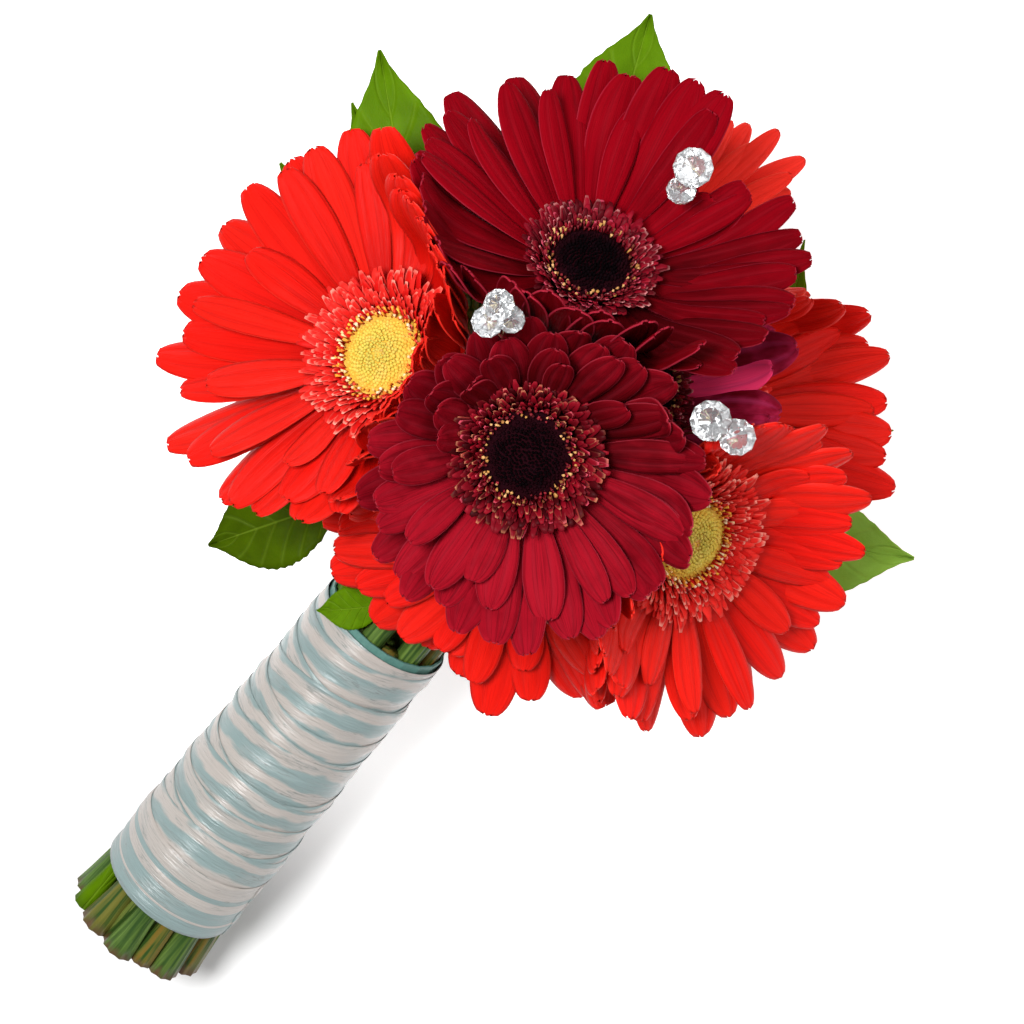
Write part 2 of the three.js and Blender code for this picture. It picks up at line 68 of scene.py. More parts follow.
makeCamera()
bpy.context.scene.view_settings.view_transform = "Standard"
print("camera is set")

# ---- small helpers ----


def deselectAll():
    if bpy.context.mode != "OBJECT":
        bpy.ops.object.mode_set(mode="OBJECT")
    bpy.ops.object.select_all(action="DESELECT")


def activate(piece):
    deselectAll()
    piece.select_set(True)
    bpy.context.view_layer.objects.active = piece


# selects the vertices of the mesh in edit mode whose place passes the test
def pick(test):
    mesh = bmesh.from_edit_mesh(bpy.context.edit_object.data)
    for part in (mesh.faces, mesh.edges, mesh.verts):
        for item in part:
            item.select_set(False)
    for vertex in mesh.verts:
        if test(vertex.co):
            vertex.select_set(True)
    mesh.select_flush(True)
    bmesh.update_edit_mesh(bpy.context.edit_object.data)


# how near to a place a vertex of a unit blank has to be, to be picked by it
nearby = 0.01


def shift(test, x=0, y=0, z=0):
    pick(test)
    bpy.ops.transform.translate(value=(x, y, z))


def widen(test, x, y=1):
    pick(test)
    bpy.ops.transform.resize(value=(x, y, 1), center_override=(0, 0, 0))


# a new primitive with a name, open in edit mode
def startPiece(name, maker, **settings):
    deselectAll()
    maker(**settings)
    piece = bpy.context.active_object
    piece.name = name
    bpy.ops.object.mode_set(mode="EDIT")
    bpy.ops.mesh.select_all(action="SELECT")
    return piece


def startGrid(name, across, along):
    maker = bpy.ops.mesh.primitive_grid_add
    return startPiece(name, maker, x_subdivisions=across, y_subdivisions=along, size=1)


# leaves edit mode, and first turns the faces of a closed form outward
def closePiece(piece, closed=False):
    if closed:
        bpy.ops.mesh.select_all(action="SELECT")
        bpy.ops.mesh.normals_make_consistent(inside=False)
    bpy.ops.object.mode_set(mode="OBJECT")
    return piece


# a random number within a limit either way
def wobble(dice, limit):
    return dice.uniform(-limit, limit)


def smoothStep(low, high, value):
    t = np.clip((value - low) / (high - low), 0, 1)
    return t * t * (3 - 2 * t)


def unit(vector):
    vector = np.asarray(vector, float)
    return vector / np.linalg.norm(vector)


# the turn that brings +Z onto a normal by the shortest way
def turnTo(normal):
    normal = unit(normal)
    axis = np.cross(zUp, normal)
    cosine = float(zUp @ normal)
    skew = np.array([[0, -axis[2], axis[1]], [axis[2], 0, -axis[0]], [-axis[1], axis[0], 0]])
    return np.eye(3) + skew + skew @ skew / (1 + cosine)


def placesOf(piece):
    flat = np.zeros(len(piece.data.vertices) * 3)
    piece.data.vertices.foreach_get("co", flat)
    return flat.reshape(-1, 3)


# the place of the vertex at each corner of the faces
def cornerPlaces(piece):
    order = np.zeros(len(piece.data.loops), int)
    piece.data.loops.foreach_get("vertex_index", order)
    return placesOf(piece)[order]


# a copy of a blank, laid at places in millimetres; nothing goes below the table
def copyOf(blank, places, tone):
    places = np.column_stack([places[:, :2], np.maximum(places[:, 2], cell["table"])])
    mesh = blank.data.copy()
    mesh.vertices.foreach_set("co", ((places - middle) * 0.001).astype(np.float32).ravel())
    mesh.attributes.new("tone", "FLOAT", "POINT").data.foreach_set("value", [tone] * len(places))
    piece = bpy.data.objects.new(blank.name, mesh)
    bpy.context.scene.collection.objects.link(piece)
    return piece


def joined(name, parts):
    activate(parts[0])
    for part in parts:
        part.select_set(True)
    if len(parts) > 1:
        bpy.ops.object.join()
    parts[0].name = name
    parts[0].data.name = name
    return parts[0]


# sheets as one piece, once they have their thickness
def walled(sheets, thickness):
    piece = joined("walled", sheets)
    activate(piece)
    modifier = piece.modifiers.new("wall", "SOLIDIFY")
    modifier.thickness = thickness * 0.001
    modifier.offset = -1
    modifier.use_even_offset = False
    bpy.ops.object.modifier_apply(modifier=modifier.name)
    return piece


def finish(piece, material, slot, *nodes, smooth=True):
    activate(piece)
    if smooth:
        bpy.ops.object.shade_smooth()
    piece.data.materials.clear()
    piece.data.materials.append(material)
    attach(piece, "root")
    if nodes:
        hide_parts(*nodes)
    return piece


# ---- materials ----


# a node's output, on which Python's operators add Math nodes
class Wire:
    def __init__(self, maker, socket):
        self.maker = maker
        self.socket = socket

    def math(self, operation, *values):
        return self.maker.add("ShaderNodeMath", {"operation": operation}, dict(enumerate(values)))

    def __add__(self, other):
        return self.math("ADD", self, other)

    def __sub__(self, other):
        return self.math("SUBTRACT", self, other)

    def __rsub__(self, other):
        return self.math("SUBTRACT", other, self)

    def __mul__(self, other):
        return self.math("MULTIPLY", self, other)

    def __pow__(self, other):
        return self.math("POWER", self, other)

    def __abs__(self):
        return self.math("ABSOLUTE", self)

    __radd__ = __add__
    __rmul__ = __mul__

    def fract(self):
        return self.math("FRACT", self)

    def sine(self):
        return self.math("SINE", self)

    def within(self, low, high):
        settings = {"interpolation_type": "SMOOTHSTEP"}
        inputs = {"Value": self, "From Min": low, "From Max": high}
        return self.maker.add("ShaderNodeMapRange", settings, inputs)


class Finish:
    def __init__(self, name, **constants):
        self.material = bpy.data.materials.new(name)
        self.material.use_nodes = True
        self.tree = self.material.node_tree
        self.shader = self.tree.nodes["Principled BSDF"]
        for key, value in constants.items():
            self.shader.inputs[key.replace("_", " ")].default_value = value

    def add(self, kind, settings=None, inputs=None, output=0):
        node = self.tree.nodes.new(kind)
        for key, value in (settings or {}).items():
            if key == "stops":
                self.setStops(node.color_ramp, value)
            else:
                setattr(node, key, value)
        for key, value in (inputs or {}).items():
            if isinstance(value, Wire):
                self.tree.links.new(value.socket, node.inputs[key])
            else:
                node.inputs[key].default_value = value
        return Wire(self, node.outputs[output])

    def setStops(self, ramp, stops):
        while len(ramp.elements) < len(stops):
            ramp.elements.new(0.5)
        for element, (position, colour) in zip(ramp.elements, stops):
            element.position = position
            element.color = (*colour, 1)

    def ramp(self, factor, stops, interpolation="LINEAR"):
        found = self.add("ShaderNodeValToRGB", {"stops": stops}, {"Fac": factor})
        found.socket.node.color_ramp.interpolation = interpolation
        return found

    def mix(self, factor, first, second, blend="MIX"):
        settings = {"data_type": "RGBA", "blend_type": blend}
        first, second = [c if isinstance(c, Wire) else (*c, 1) for c in (first, second)]
        return self.add("ShaderNodeMix", settings, {0: factor, 6: first, 7: second}, 2)

    def vector(self, x, y, z=0.0):
        return self.add("ShaderNodeCombineXYZ", {}, {0: x, 1: y, 2: z})

    def noise(self, place, scale, detail=2.0, rough=0.5):
        inputs = {"Vector": place, "Scale": scale, "Detail": detail, "Roughness": rough}
        return self.add("ShaderNodeTexNoise", {}, inputs)

    def attribute(self, name):
        return self.add("ShaderNodeAttribute", {"attribute_name": name}, {}, 2)

    # the piece's own map: across and along the petal, leaf, stem or ribbon
    def across(self):
        place = self.add("ShaderNodeUVMap", {"uv_map": "UVMap"})
        split = self.add("ShaderNodeSeparateXYZ", {}, {0: place})
        return split, Wire(self, split.socket.node.outputs[1])

    def objectPlace(self):
        return self.add("ShaderNodeTexCoord", {}, {}, 3)

    def feed(self, **wires):
        for key, wire in wires.items():
            self.tree.links.new(wire.socket, self.shader.inputs[key.replace("_", " ")])

    def bump(self, height, strength, distance):
        inputs = {"Strength": strength, "Distance": distance, "Height": height}
        self.feed(Normal=self.add("ShaderNodeBump", {}, inputs))


# petals: deep at the root as painted shade, brighter outward as painted light, with fine lengthwise streaks,
# two soft ridges (painted shade on red and orange petals, a painted highlight on the dark ones) and a thin
# rim
def petalFinish(name, values):
    look = dict(zip(petalKeys, values))
    made = Finish(name, Roughness=look["rough"], Specular_IOR_Level=look["shine"])
    u, v = made.across()
    tone = made.attribute("tone")
    streaks = made.noise(made.vector(u * 34, v * 1.6, tone * 40), 1.0, 3.0, 0.6)
    patches = made.noise(made.vector(u * 3, v * 5, tone * 60), 1.0)
    # painted shade toward the root and painted light toward the tip
    body = made.ramp(v, [(0.1, look["root"]), (0.45, look["body"]), (0.9, look["bright"])])
    # a high tone takes the "other" colour: a random second tone, and painted light where a bloom has a
    # "glow"
    toned = made.mix((tone * 0.9 + patches * 0.5).within(0.35, 1.0), body, look["other"])
    centred = abs(u - 0.5)
    ridge = (1 - abs(centred - 0.2).within(0.0, 0.11)) * v.within(0.12, 0.4) * (1 - v.within(0.75, 1.0))
    # the ridge colour: painted shade in the grooves of red and orange petals, a painted highlight along them
    # on the dark petals
    ridgeLitShaded = made.mix(ridge * look["ridge"] * (streaks + 0.3), toned, look["ridgeShadeHighlight"])
    streaked = made.mix((streaks.within(0.46, 0.72)) * look["streak"], ridgeLitShaded, look["streakColour"])
    edge = centred.within(0.462, 0.5) + v.within(0.986, 1.0)
    made.feed(Base_Color=made.mix(edge * look["rim"], streaked, look["rimColour"]))
    made.bump(streaks * 0.6 - ridge * 0.4, 0.6, 0.0007)
    return made.material


# A petal's colours, then how strongly its streaks, ridges and rim show, how rough it is and how it shines.
# The root colour is painted shade and the bright one painted light. "other" is a second tone, given at
# random, to the one bright petal, and as painted light to the side of a bloom with a "glow". The ridge
# colour is painted shade on red and orange petals and a painted highlight on the dark ones.
petalKeys = ("root", "body", "bright", "other", "streakColour", "ridgeShadeHighlight", "rimColour",
             "streak", "ridge", "rim", "rough", "shine")
petalLooks = {
    "red": ((0.36, 0.002, 0.001), (0.54, 0.0045, 0.002), (0.64, 0.007, 0.0035), (0.6, 0.009, 0.004),
        (0.34, 0.002, 0.001), (0.3, 0.002, 0.001), (0.75, 0.05, 0.03), 0.5, 0.3, 0.3, 0.42, 0.07),
    "orange": ((0.55, 0.006, 0.003), (0.7, 0.013, 0.006), (0.78, 0.03, 0.018), (0.76, 0.022, 0.012),
        (0.45, 0.005, 0.002), (0.45, 0.008, 0.004), (0.85, 0.12, 0.06), 0.3, 0.2, 0.3, 0.45, 0.06),
    "burgundy": ((0.01, 0.0003, 0.0008), (0.06, 0.0006, 0.0019), (0.14, 0.0012, 0.005),
        (0.258, 0.0038, 0.0116), (0.03, 0.0004, 0.0014), (0.2, 0.012, 0.022), (0.36, 0.03, 0.05), 0.55,
        0.25, 0.55, 0.6, 0.02),
    "crimson": ((0.022, 0.0003, 0.001), (0.064, 0.0004, 0.0018), (0.115, 0.0005, 0.003),
        (0.196, 0.0006, 0.0045), (0.07, 0.0005, 0.002), (0.22, 0.008, 0.016), (0.45, 0.03, 0.06), 0.5, 0.25,
        0.4, 0.6, 0.012),
    "magenta": ((0.06, 0.001, 0.004), (0.11, 0.0012, 0.006), (0.17, 0.003, 0.014), (1.0, 0.048, 0.18),
        (0.3, 0.004, 0.03), (0.55, 0.05, 0.17), (0.6, 0.05, 0.14), 0.2, 0.35, 0.3, 0.55, 0.02),
}


# the ruff of small florets: petal-coloured, many of them with a pale or a golden tip
def floretFinish(name, values):
    look = dict(zip(floretKeys, values))
    made = Finish(name, Roughness=0.5, Specular_IOR_Level=0.06)
    u, v = made.across()
    tone = made.attribute("tone")
    own = (tone * 7.3).fract()
    body = made.mix(tone, look["dark"], look["body"])
    tipColour = made.mix(own.within(0.5, 0.75), look["tip"], look["otherTip"])
    edge = abs(u - 0.5).within(0.3, 0.5) * look["edge"]
    pale = (v.within(look["from"], 1.0) + edge * v) * (tone * 3.7).fract().within(look["bare"], 1.0)
    made.feed(Base_Color=made.mix(pale, body, tipColour))
    return made.material


# A floret's colours, where along it the pale tip starts, how pale its edges are, and how many have no tip.
floretKeys = ("dark", "body", "tip", "otherTip", "from", "edge", "bare")
floretLooks = {
    "red": ((0.5, 0.005, 0.004), (0.68, 0.022, 0.016), (0.85, 0.34, 0.26), (0.8, 0.12, 0.09), 0.8, 0.6,
        0.2),
    "burgundy": ((0.03, 0.001, 0.002), (0.2, 0.003, 0.01), (0.5, 0.2, 0.1), (0.45, 0.05, 0.08), 0.84, 0.5,
        0.45),
    "crimson": ((0.05, 0.001, 0.003), (0.21, 0.003, 0.012), (0.66, 0.28, 0.27), (0.45, 0.05, 0.09), 0.84,
        0.45, 0.5),
}
floretLooks["orange"] = floretLooks["red"]
floretLooks["magenta"] = floretLooks["crimson"]


# the buds of the disc, from the middle outward
def budFinish(name, look):
    made = Finish(name, Roughness=look["rough"], Specular_IOR_Level=look["shine"])
    tone = made.attribute("tone")
    place = made.noise(made.objectPlace(), 320.0, 2.0)
    body = made.ramp(tone, look["stops"])
    made.feed(Base_Color=made.mix(place.within(0.45, 0.75) * look["speckle"], body, look["speckleColour"]))
    return made.material


budLooks = {
    "yellow": {"rough": 0.55, "shine": 0.15, "speckle": 0.35, "speckleColour": (0.72, 0.52, 0.14),
        "stops": [(0.0, (0.55, 0.25, 0.08)), (0.1, (0.5, 0.42, 0.07)), (0.5, (0.58, 0.47, 0.07)),
        (0.85, (0.64, 0.45, 0.06)), (1.0, (0.62, 0.36, 0.04))]},
    "dark": {"rough": 0.9, "shine": 0.02, "speckle": 0.25, "speckleColour": (0.012, 0.003, 0.006),
        "stops": [(0.0, (0.0008, 0.0005, 0.0007)), (0.7, (0.002, 0.0008, 0.0013)),
        (1.0, (0.012, 0.0014, 0.003))]},
}


def stamenFinish(name, colours):
    made = Finish(name, Roughness=0.5, Specular_IOR_Level=0.15)
    tone = made.attribute("tone")
    _, v = made.across()
    tip = made.ramp(tone, [(i / (len(colours["tips"]) - 1), c) for i, c in enumerate(colours["tips"])])
    made.feed(Base_Color=made.mix(v.within(0.35, 0.6), colours["foot"], tip))
    return made.material


# two colours in a fine grain, for the calyx, the tape, the wires and the crystals
def grainFinish(name, scale, first, second, depth=0.0, **constants):
    made = Finish(name, **constants)
    grain = made.noise(made.objectPlace(), scale)
    made.feed(Base_Color=made.mix(grain, first, second))
    if depth:
        made.bump(grain, 0.3, depth)
    return made.material


stamenLooks = {
    "red": {"foot": (0.5, 0.06, 0.01), "tips": [(0.78, 0.3, 0.03), (0.72, 0.42, 0.05), (0.62, 0.03, 0.02),
        (0.8, 0.36, 0.03), (0.82, 0.62, 0.36), (0.8, 0.66, 0.42)]},
    "dark": {"foot": (0.04, 0.002, 0.003), "tips": [(0.06, 0.003, 0.006), (0.1, 0.004, 0.008),
        (0.22, 0.012, 0.02), (0.08, 0.004, 0.006), (0.42, 0.2, 0.05), (0.6, 0.34, 0.14)]},
}


# stems: ribbed fresh green, streaked along, brownish toward the cut end
def stemFinish():
    made = Finish("stem green", Roughness=0.42, Specular_IOR_Level=0.22)
    u, v = made.across()
    tone = made.attribute("tone")
    streaks = made.noise(made.vector(u * 16, v * 5, tone * 30), 1.0, 3.0, 0.55)
    body = made.mix(streaks.within(0.35, 0.7), (0.018, 0.048, 0.007), (0.090, 0.165, 0.030))
    toned = made.mix((tone - 0.2).within(0.0, 0.5) * streaks.within(0.35, 0.6), body, (0.13, 0.085, 0.012))
    cut = 1 - (v + streaks * 0.05 - 0.02).within(0.0, 0.02)
    made.feed(Base_Color=made.mix(cut * 0.85, toned, (0.13, 0.055, 0.022)))
    made.bump(streaks, 0.5, 0.0014)
    return made.material


# leaves: leathery, with a pale midrib and arching side veins; a low tone paints a leaf darker, as painted
# shade, a high tone paler
def leafFinish():
    made = Finish("leaf green", Roughness=0.34, Specular_IOR_Level=0.015)
    u, v = made.across()
    tone = made.attribute("tone")
    off = abs(u - 0.5)
    arch = (v - off * 0.55 + off * off * 0.3) * 44
    vein = (arch.sine() * 0.5 + 0.5) ** 14.0
    veins = vein * (1 - off.within(0.40, 0.5)) * v.within(0.02, 0.1)
    midrib = 1 - off.within(0.004, 0.022)
    blotches = made.noise(made.vector(u * 4, v * 7, tone * 20), 1.0, 3.0)
    body = made.mix(blotches, (0.044, 0.096, 0.001), (0.092, 0.195, 0.002))
    palest = made.mix(blotches, (0.15, 0.27, 0.02), (0.23, 0.40, 0.06))
    pale = made.mix(tone.within(0.4, 1.0), body, palest)
    # the darkest greens are painted shade, for leaves that lie in the shade of the blooms
    paintedShadeGreen = made.mix(blotches, (0.018, 0.032, 0.0005), (0.05, 0.09, 0.001))
    deep = made.mix(tone.within(0.0, 0.4), paintedShadeGreen, pale)
    ribbed = made.mix(veins * 0.16 + midrib * 0.4, deep, made.mix(0.5, deep, (0.24, 0.38, 0.03)))
    made.feed(Base_Color=ribbed)
    cells = made.noise(made.vector(u * 60, v * 100, tone * 9), 1.0)
    made.bump(cells * 0.25 - veins * 0.7 - midrib, 0.5, 0.0010)
    return made.material


# satin ribbon: lengthwise stripes of pale teal and off-white, by their distance from the lower edge
ribbonLook = {
    "teal": (0.165, 0.232, 0.230),
    "white": (0.345, 0.312, 0.284),
    "creaseShade": (0.11, 0.13, 0.125),
    "bands": 2.6,           # pairs of stripes across the width
    # the last turn's stripes from its lower edge; its wide white band above the thin line is partly the
    # ribbon's white and partly a painted highlight of the satin
    "last": [(0.0, "teal"), (0.20, "white"), (0.235, "teal"), (0.46, "white"), (0.62, "teal"),
             (0.7, "white")],
}


def ribbonFinish():
    made = Finish("satin ribbon", Roughness=0.27, Specular_IOR_Level=0.5, Sheen_Weight=0.08,
                  Sheen_Roughness=0.3)
    u, v = made.across()
    threads = made.noise(made.vector(u * 180, v * 40), 1.0, 2.0)
    wander = made.noise(made.vector(u * 1.2, v * 42), 1.0, 3.0, 0.65)
    brush = made.noise(made.vector(u * 12, v * 150), 1.0, 3.0, 0.65)
    wave = ((u + (wander - 0.5) * 0.55) * (ribbonLook["bands"] * 2 * math.pi)).sine()
    wound = (wave + (brush - 0.5) * 1.5 + (wander - 0.5) * 1.2).within(-0.3, 0.6)
    lastStops = [(at, ribbonLook[colour]) for at, colour in ribbonLook["last"]]
    lastTurn = made.ramp(u + (wander - 0.5) * 0.06, lastStops, "CONSTANT")
    striped = made.mix(wound, ribbonLook["teal"], ribbonLook["white"])
    striped = made.mix(v.within(0.905, 0.915), striped, lastTurn)
    smudge = made.noise(made.vector(u * 5, v * 110), 1.0, 3.0)
    dulled = made.mix(smudge.within(0.45, 0.8) * 0.5, striped, (0.25, 0.265, 0.255))
    # dark lines along some folds: painted shadow of the gaps under the ribbon's raised edges
    fold = made.noise(made.vector(u * 7, v * 55), 1.0, 4.0, 0.6)
    line = 1 - abs(fold - 0.5).within(0.0, 0.022)
    creaseShaded = made.mix(line * smudge.within(0.4, 0.7) * 0.75, dulled, ribbonLook["creaseShade"])
    made.feed(Base_Color=made.mix(threads * 0.12, creaseShaded, (0.42, 0.44, 0.44)))
    made.bump(fold + brush * 0.3 + threads * 0.1, 0.7, 0.0018)
    return made.material


print("finishes are ready")

# ---- the bouquet's layout, as the solids have it ----

bundle = {"lean": 25, "start": (-6.1, -0.9, 19.75), "tie": 140, "flare": 1.2, "ring": 15.3, "core": 4.95,
          "twigs": 16.8}
cell = {"gap": 0.7, "seedLift": 12, "near": 125, "thick": 1.0, "table": 0.4, "clear": 2.0}


# A bloom: the middle of its disc, the way that it faces, its radius, and its petals' rise at root and tip.
def bloomRow(name, at, facing, reach, rise, kind, colour, **more):
    normal = unit(facing)
    centre = np.array(at, float)
    return {"name": name, "centre": centre, "normal": normal, "seed": centre + normal * cell["seedLift"],
            "turn": turnTo(facing), "reach": reach, "rise": rise, "kind": kind, "colour": colour, **more}


# "seat" or "heart" is a stem's angle in the outer or inner ring of the binding, "turns" its bends above
# that. "form" is how a bloom leaves its round form, by the direction in the camera's picture: degrees from
# the picture's right, share of the reach, more rise in degrees.
# "glow" is the picture angle toward which a bloom's petals are painted lighter, and away from which darker:
# painted light and shade; "focus" narrows it.
blooms = [
    bloomRow("front", (184.7, -1.8, 178), (-0.154, -0.128, 0.98), 56, (34, 26), "velvet", "burgundy",
             shape="velvet", heart=0, turns=[(212, 3, -3), (224, 4.5, 12)], push=6, glow=262, focus=2,
             form=[(0, 1.06, -2), (45, 0.88, 8), (90, 0.77, 13), (135, 0.74, 14), (180, 0.87, 6),
             (225, 1.0, -2), (270, 1.05, -6), (300, 1.1, -6), (335, 1.16, -5)]),
    bloomRow("top", (237.5, 18.8, 158), (0.55, 0.17, 0.82), 61, (22, 14), "full", "crimson", shape="mixed",
             slim=0.97, seat=32, turns=[(192, 13, 12), (222, 15, -2)], push=5, glow=95, turned=-22,
             form=[(3, 1.03), (15, 1.1), (20, 0.74), (40, 0.74), (47, 1.14), (68, 1.12), (90, 1.06),
             (113, 1.03), (130, 1.04), (180, 0.95), (300, 1.05), (338, 1.06)]),
    bloomRow("left", (180.7, 48.1, 150), (-0.1, 0.5, 0.86), 68, (12, 7), "open", "red", seat=81.4,
             turns=[(168, 18, 2), (211, 26, 8)], form=[(40, 0.95), (90, 0.97), (125, 1.06), (160, 1.06),
             (200, 1.03), (218, 0.94), (228, 0.85), (240, 0.76), (252, 0.7, 2), (280, 0.67, 10),
             (330, 0.66, 10)]),
    bloomRow("right", (196.2, -52.7, 148), (0.12, -0.68, 0.72), 60, (12, 7), "open", "red", shape="slender",
             slim=0.9, seat=310.4, run=50, arrive=42, form=[(0, 0.96), (30, 0.92), (55, 0.85, -3),
             (85, 0.78, -3), (110, 0.8, 5), (180, 0.8, 6), (240, 0.82), (255, 0.92), (282, 1.1),
             (305, 1.14), (325, 1.07), (343, 1.0)]),
    bloomRow("side", (229.4, -33.8, 100), (0.45, -0.45, 0.77), 62, (12, 8), "open", "red", shape="slender",
             slim=1.0, seat=278.2, run=50, arrive=30, form=[(0, 1.09, 2), (45, 1.06, 2), (90, 0.95),
             (180, 0.9), (270, 0.9), (305, 0.84), (335, 1.09, 2)]),
    bloomRow("between", (221.8, -13.7, 132), (0.5, -0.35, 0.79), 56, (26, 18), "full", "magenta",
             shape="slender", slim=0.9, heart=240, turns=[(165, -5, -3), (218, -5, -11)], bright=-8,
             form=[(0, 1.04, -3), (25, 0.92, -4), (60, 0.8), (180, 0.85), (300, 0.85), (335, 0.88)]),
    bloomRow("tip", (263.6, 7.3, 100), (0.78, -0.22, 0.58), 51, (14, 9), "open", "orange", shape="slender",
             slim=0.58, heart=120, run=55, arrive=45, form=[(0, 1.0), (20, 1.1, 22), (50, 1.18, 24),
             (75, 1.0, 12), (110, 0.9), (270, 0.9)]),
    bloomRow("low", (161.3, -15.2, 138), (-0.57, -0.1, 0.815), 57, (9, 4), "open", "red", seat=0, run=36,
             arrive=20, walls=[(0.906, 0, 0.42, 217)], push=-2, form=[(20, 0.8), (90, 0.7), (160, 0.95),
             (180, 1.0), (210, 0.92), (243, 0.8), (247, 0.82), (250, 1.05), (266, 1.05), (268, 0.62),
             (275, 0.62), (278, 0.92), (295, 0.93), (306, 0.96), (321, 1.1), (335, 0.95)]),
    bloomRow("under_left", (211, 50, 42.9), (0.4, 0.7, -0.59), 52, (14, 8), "open", "red", seat=130.6,
             run=42, arrive=26),
    bloomRow("under_right", (218, -48, 40.6), (0.4, -0.6, -0.69), 52, (14, 8), "open", "orange", seat=229,
             run=42, arrive=24),
    bloomRow("under", (220, 3, 24.6), (0.3, 0.05, -0.95), 50, (14, 8), "open", "red", seat=179.8, run=40,
             arrive=22),
]

picks = [
    {"name": "top", "foot": (262, 12, 122),
     "gems": [(277.2, 14, 157, 11.2), (270.6, 12.6, 152, 8.4)]},
    {"name": "left", "foot": (206, 24, 162),
     "gems": [(210.4, 29.3, 210.5, 8.5), (205, 29, 207, 8.5), (209.7, 24.6, 204, 7.5)]},
    {"name": "right", "foot": (216, -30, 144),
     "gems": [(224.2, -34.8, 182, 11.4), (225.6, -43.3, 178, 10.2)]},
]


def inBundle(u, v, w):
    lean = math.radians(bundle["lean"])
    along = u * math.cos(lean) - w * math.sin(lean)
    return np.array([along, v, u * math.sin(lean) + w * math.cos(lean)]) + bundle["start"]


def bezier(corners, t):
    corners = np.asarray(corners, float)
    t = np.asarray(t, float)[:, None]
    while len(corners) > 1:
        if corners.ndim == 2:
            corners = corners[:, None, :] * np.ones((1, len(t), 1))
        corners = corners[:-1] * (1 - t) + corners[1:] * t
    return corners[0]


def evenly(points, count):
    lengths = np.concatenate([[0], np.cumsum(np.linalg.norm(np.diff(points, axis=0), axis=1))])
    wanted = np.linspace(0, lengths[-1], count)
    return np.stack([np.interp(wanted, lengths, points[:, k]) for k in range(3)], axis=1)


# points of a stem's line before it is laid out evenly, steps for each one that is kept, and smoothing passes
fineness = {"straight": 50, "bend": 60, "steps": 4, "smoothing": 10}


# a stem's line: straight through the binding, then bent to its end
def stemLine(radius, angle, end, direction, piece, count):
    v, w = radius * math.sin(math.radians(angle)), radius * math.cos(math.radians(angle))
    cut = inBundle(0, v * bundle["flare"], w * bundle["flare"])
    tie = inBundle(bundle["tie"], v, w)
    onward = unit(tie - cut)
    if "turns" in piece:
        turns = [inBundle(*place) for place in piece["turns"]]
    else:
        turns = [tie + onward * piece["run"], end - unit(direction) * piece["arrive"]]
    straight = cut + (tie - cut) * np.linspace(0, 1, fineness["straight"])[:-1, None]
    bend = bezier([tie, *turns, end], np.linspace(0, 1, fineness["bend"]))
    line = evenly(np.concatenate([straight, bend]), count * fineness["steps"] + 1)
    for _ in range(fineness["smoothing"]):
        line[1:-1] = (line[:-2] + 2 * line[1:-1] + line[2:]) / 4
    return evenly(line, count + 1)


# the planes between a bloom and its neighbours, in the bloom's own frame, as normals and limits
def wallsOf(bloom):
    normals, limits = [[0, 0, -1]], [-cell["table"] - cell["thick"]]
    for other in blooms:
        if other is bloom or np.linalg.norm(other["centre"] - bloom["centre"]) > cell["near"]:
            continue
        normal = unit(other["seed"] - bloom["seed"])
        push = bloom.get("push", 0) - other.get("push", 0)
        normals.append(normal)
        limits.append(normal @ (other["seed"] + bloom["seed"]) / 2 - cell["gap"] / 2 + push)
    for x, y, z, limit in bloom.get("walls", []):
        normals.append(unit((x, y, z)))
        limits.append(limit)
    normals = np.array(normals, float)
    limits = np.array(limits) - normals @ bloom["centre"]
    return normals @ bloom["turn"], limits - cell["thick"]


# petals pass below the crystals: the place below each one, and the radius that it needs, seen from above
crystals = [(np.array([x, y, z - diameter * 0.5 - cell["clear"]]), diameter / 2 + cell["clear"])
            for group in picks for x, y, z, diameter in group["gems"]]


def toWorld(bloom, places):
    return places @ bloom["turn"].T + bloom["centre"]


# ---- petals ----

petalShape = {
    "across": 10,
    "along": 18,
    "outline": [(0, 0.30), (0.15, 0.42), (0.35, 0.72), (0.5, 0.91), (0.64, 1.0), (0.77, 0.97), (0.87, 0.84),
                (0.94, 0.66), (0.98, 0.47), (1.0, 0.30)],
    "pointed": [(0, 0.30), (0.15, 0.44), (0.34, 0.75), (0.5, 0.95), (0.61, 1.0), (0.73, 0.97), (0.83, 0.86),
                (0.91, 0.68), (0.965, 0.46), (1.0, 0.24)],
    "crowd": 1.45,          # how much closer the rows lie toward the tip
    "steps": 18,
    "angles": np.radians(np.arange(-80, 101, 4)),
    "settle": 0.3,          # the share of the length after which the root's dip is over
    "look": 6,              # how far ahead a wall is felt, and how strongly
    "ahead": 0.6,
    "stray": 6,             # the costs of another angle than the wanted one, and of a bend
    "bend": 22,
    "shy": 3,               # the cost of passing over a crystal, and the height that it stops at
    "most": 12,
    "under": 0.7,           # how much of its half width a petal keeps clear of a crystal
    "smoothing": 3,
    "rolled": 0.35,         # shares of the length where the roll is complete and the tip's curl starts
    "curled": 0.65,
    "thick": 0.5,
}

# How far single petals vary: from their even places, in steps, in width, in degrees, and in millimetres.
petalVary = {"place": 0.13, "width": (0.88, 1.1), "roll": 4, "twist": 10, "sway": 2.2, "curl": 12,
             "rise": 2.5}
leastRoll = 7
# petals near the picture's angle "turned" stand more on edge
onEdge = {"from": 60, "to": 20, "narrower": 0.26, "roll": 13}
# one petal near the angle "bright" is wide and bright, and those under it are left out
brightPetal = {"layer": 2, "near": 14, "clear": 15, "wider": 1.4, "others": (0.1, 0.3)}

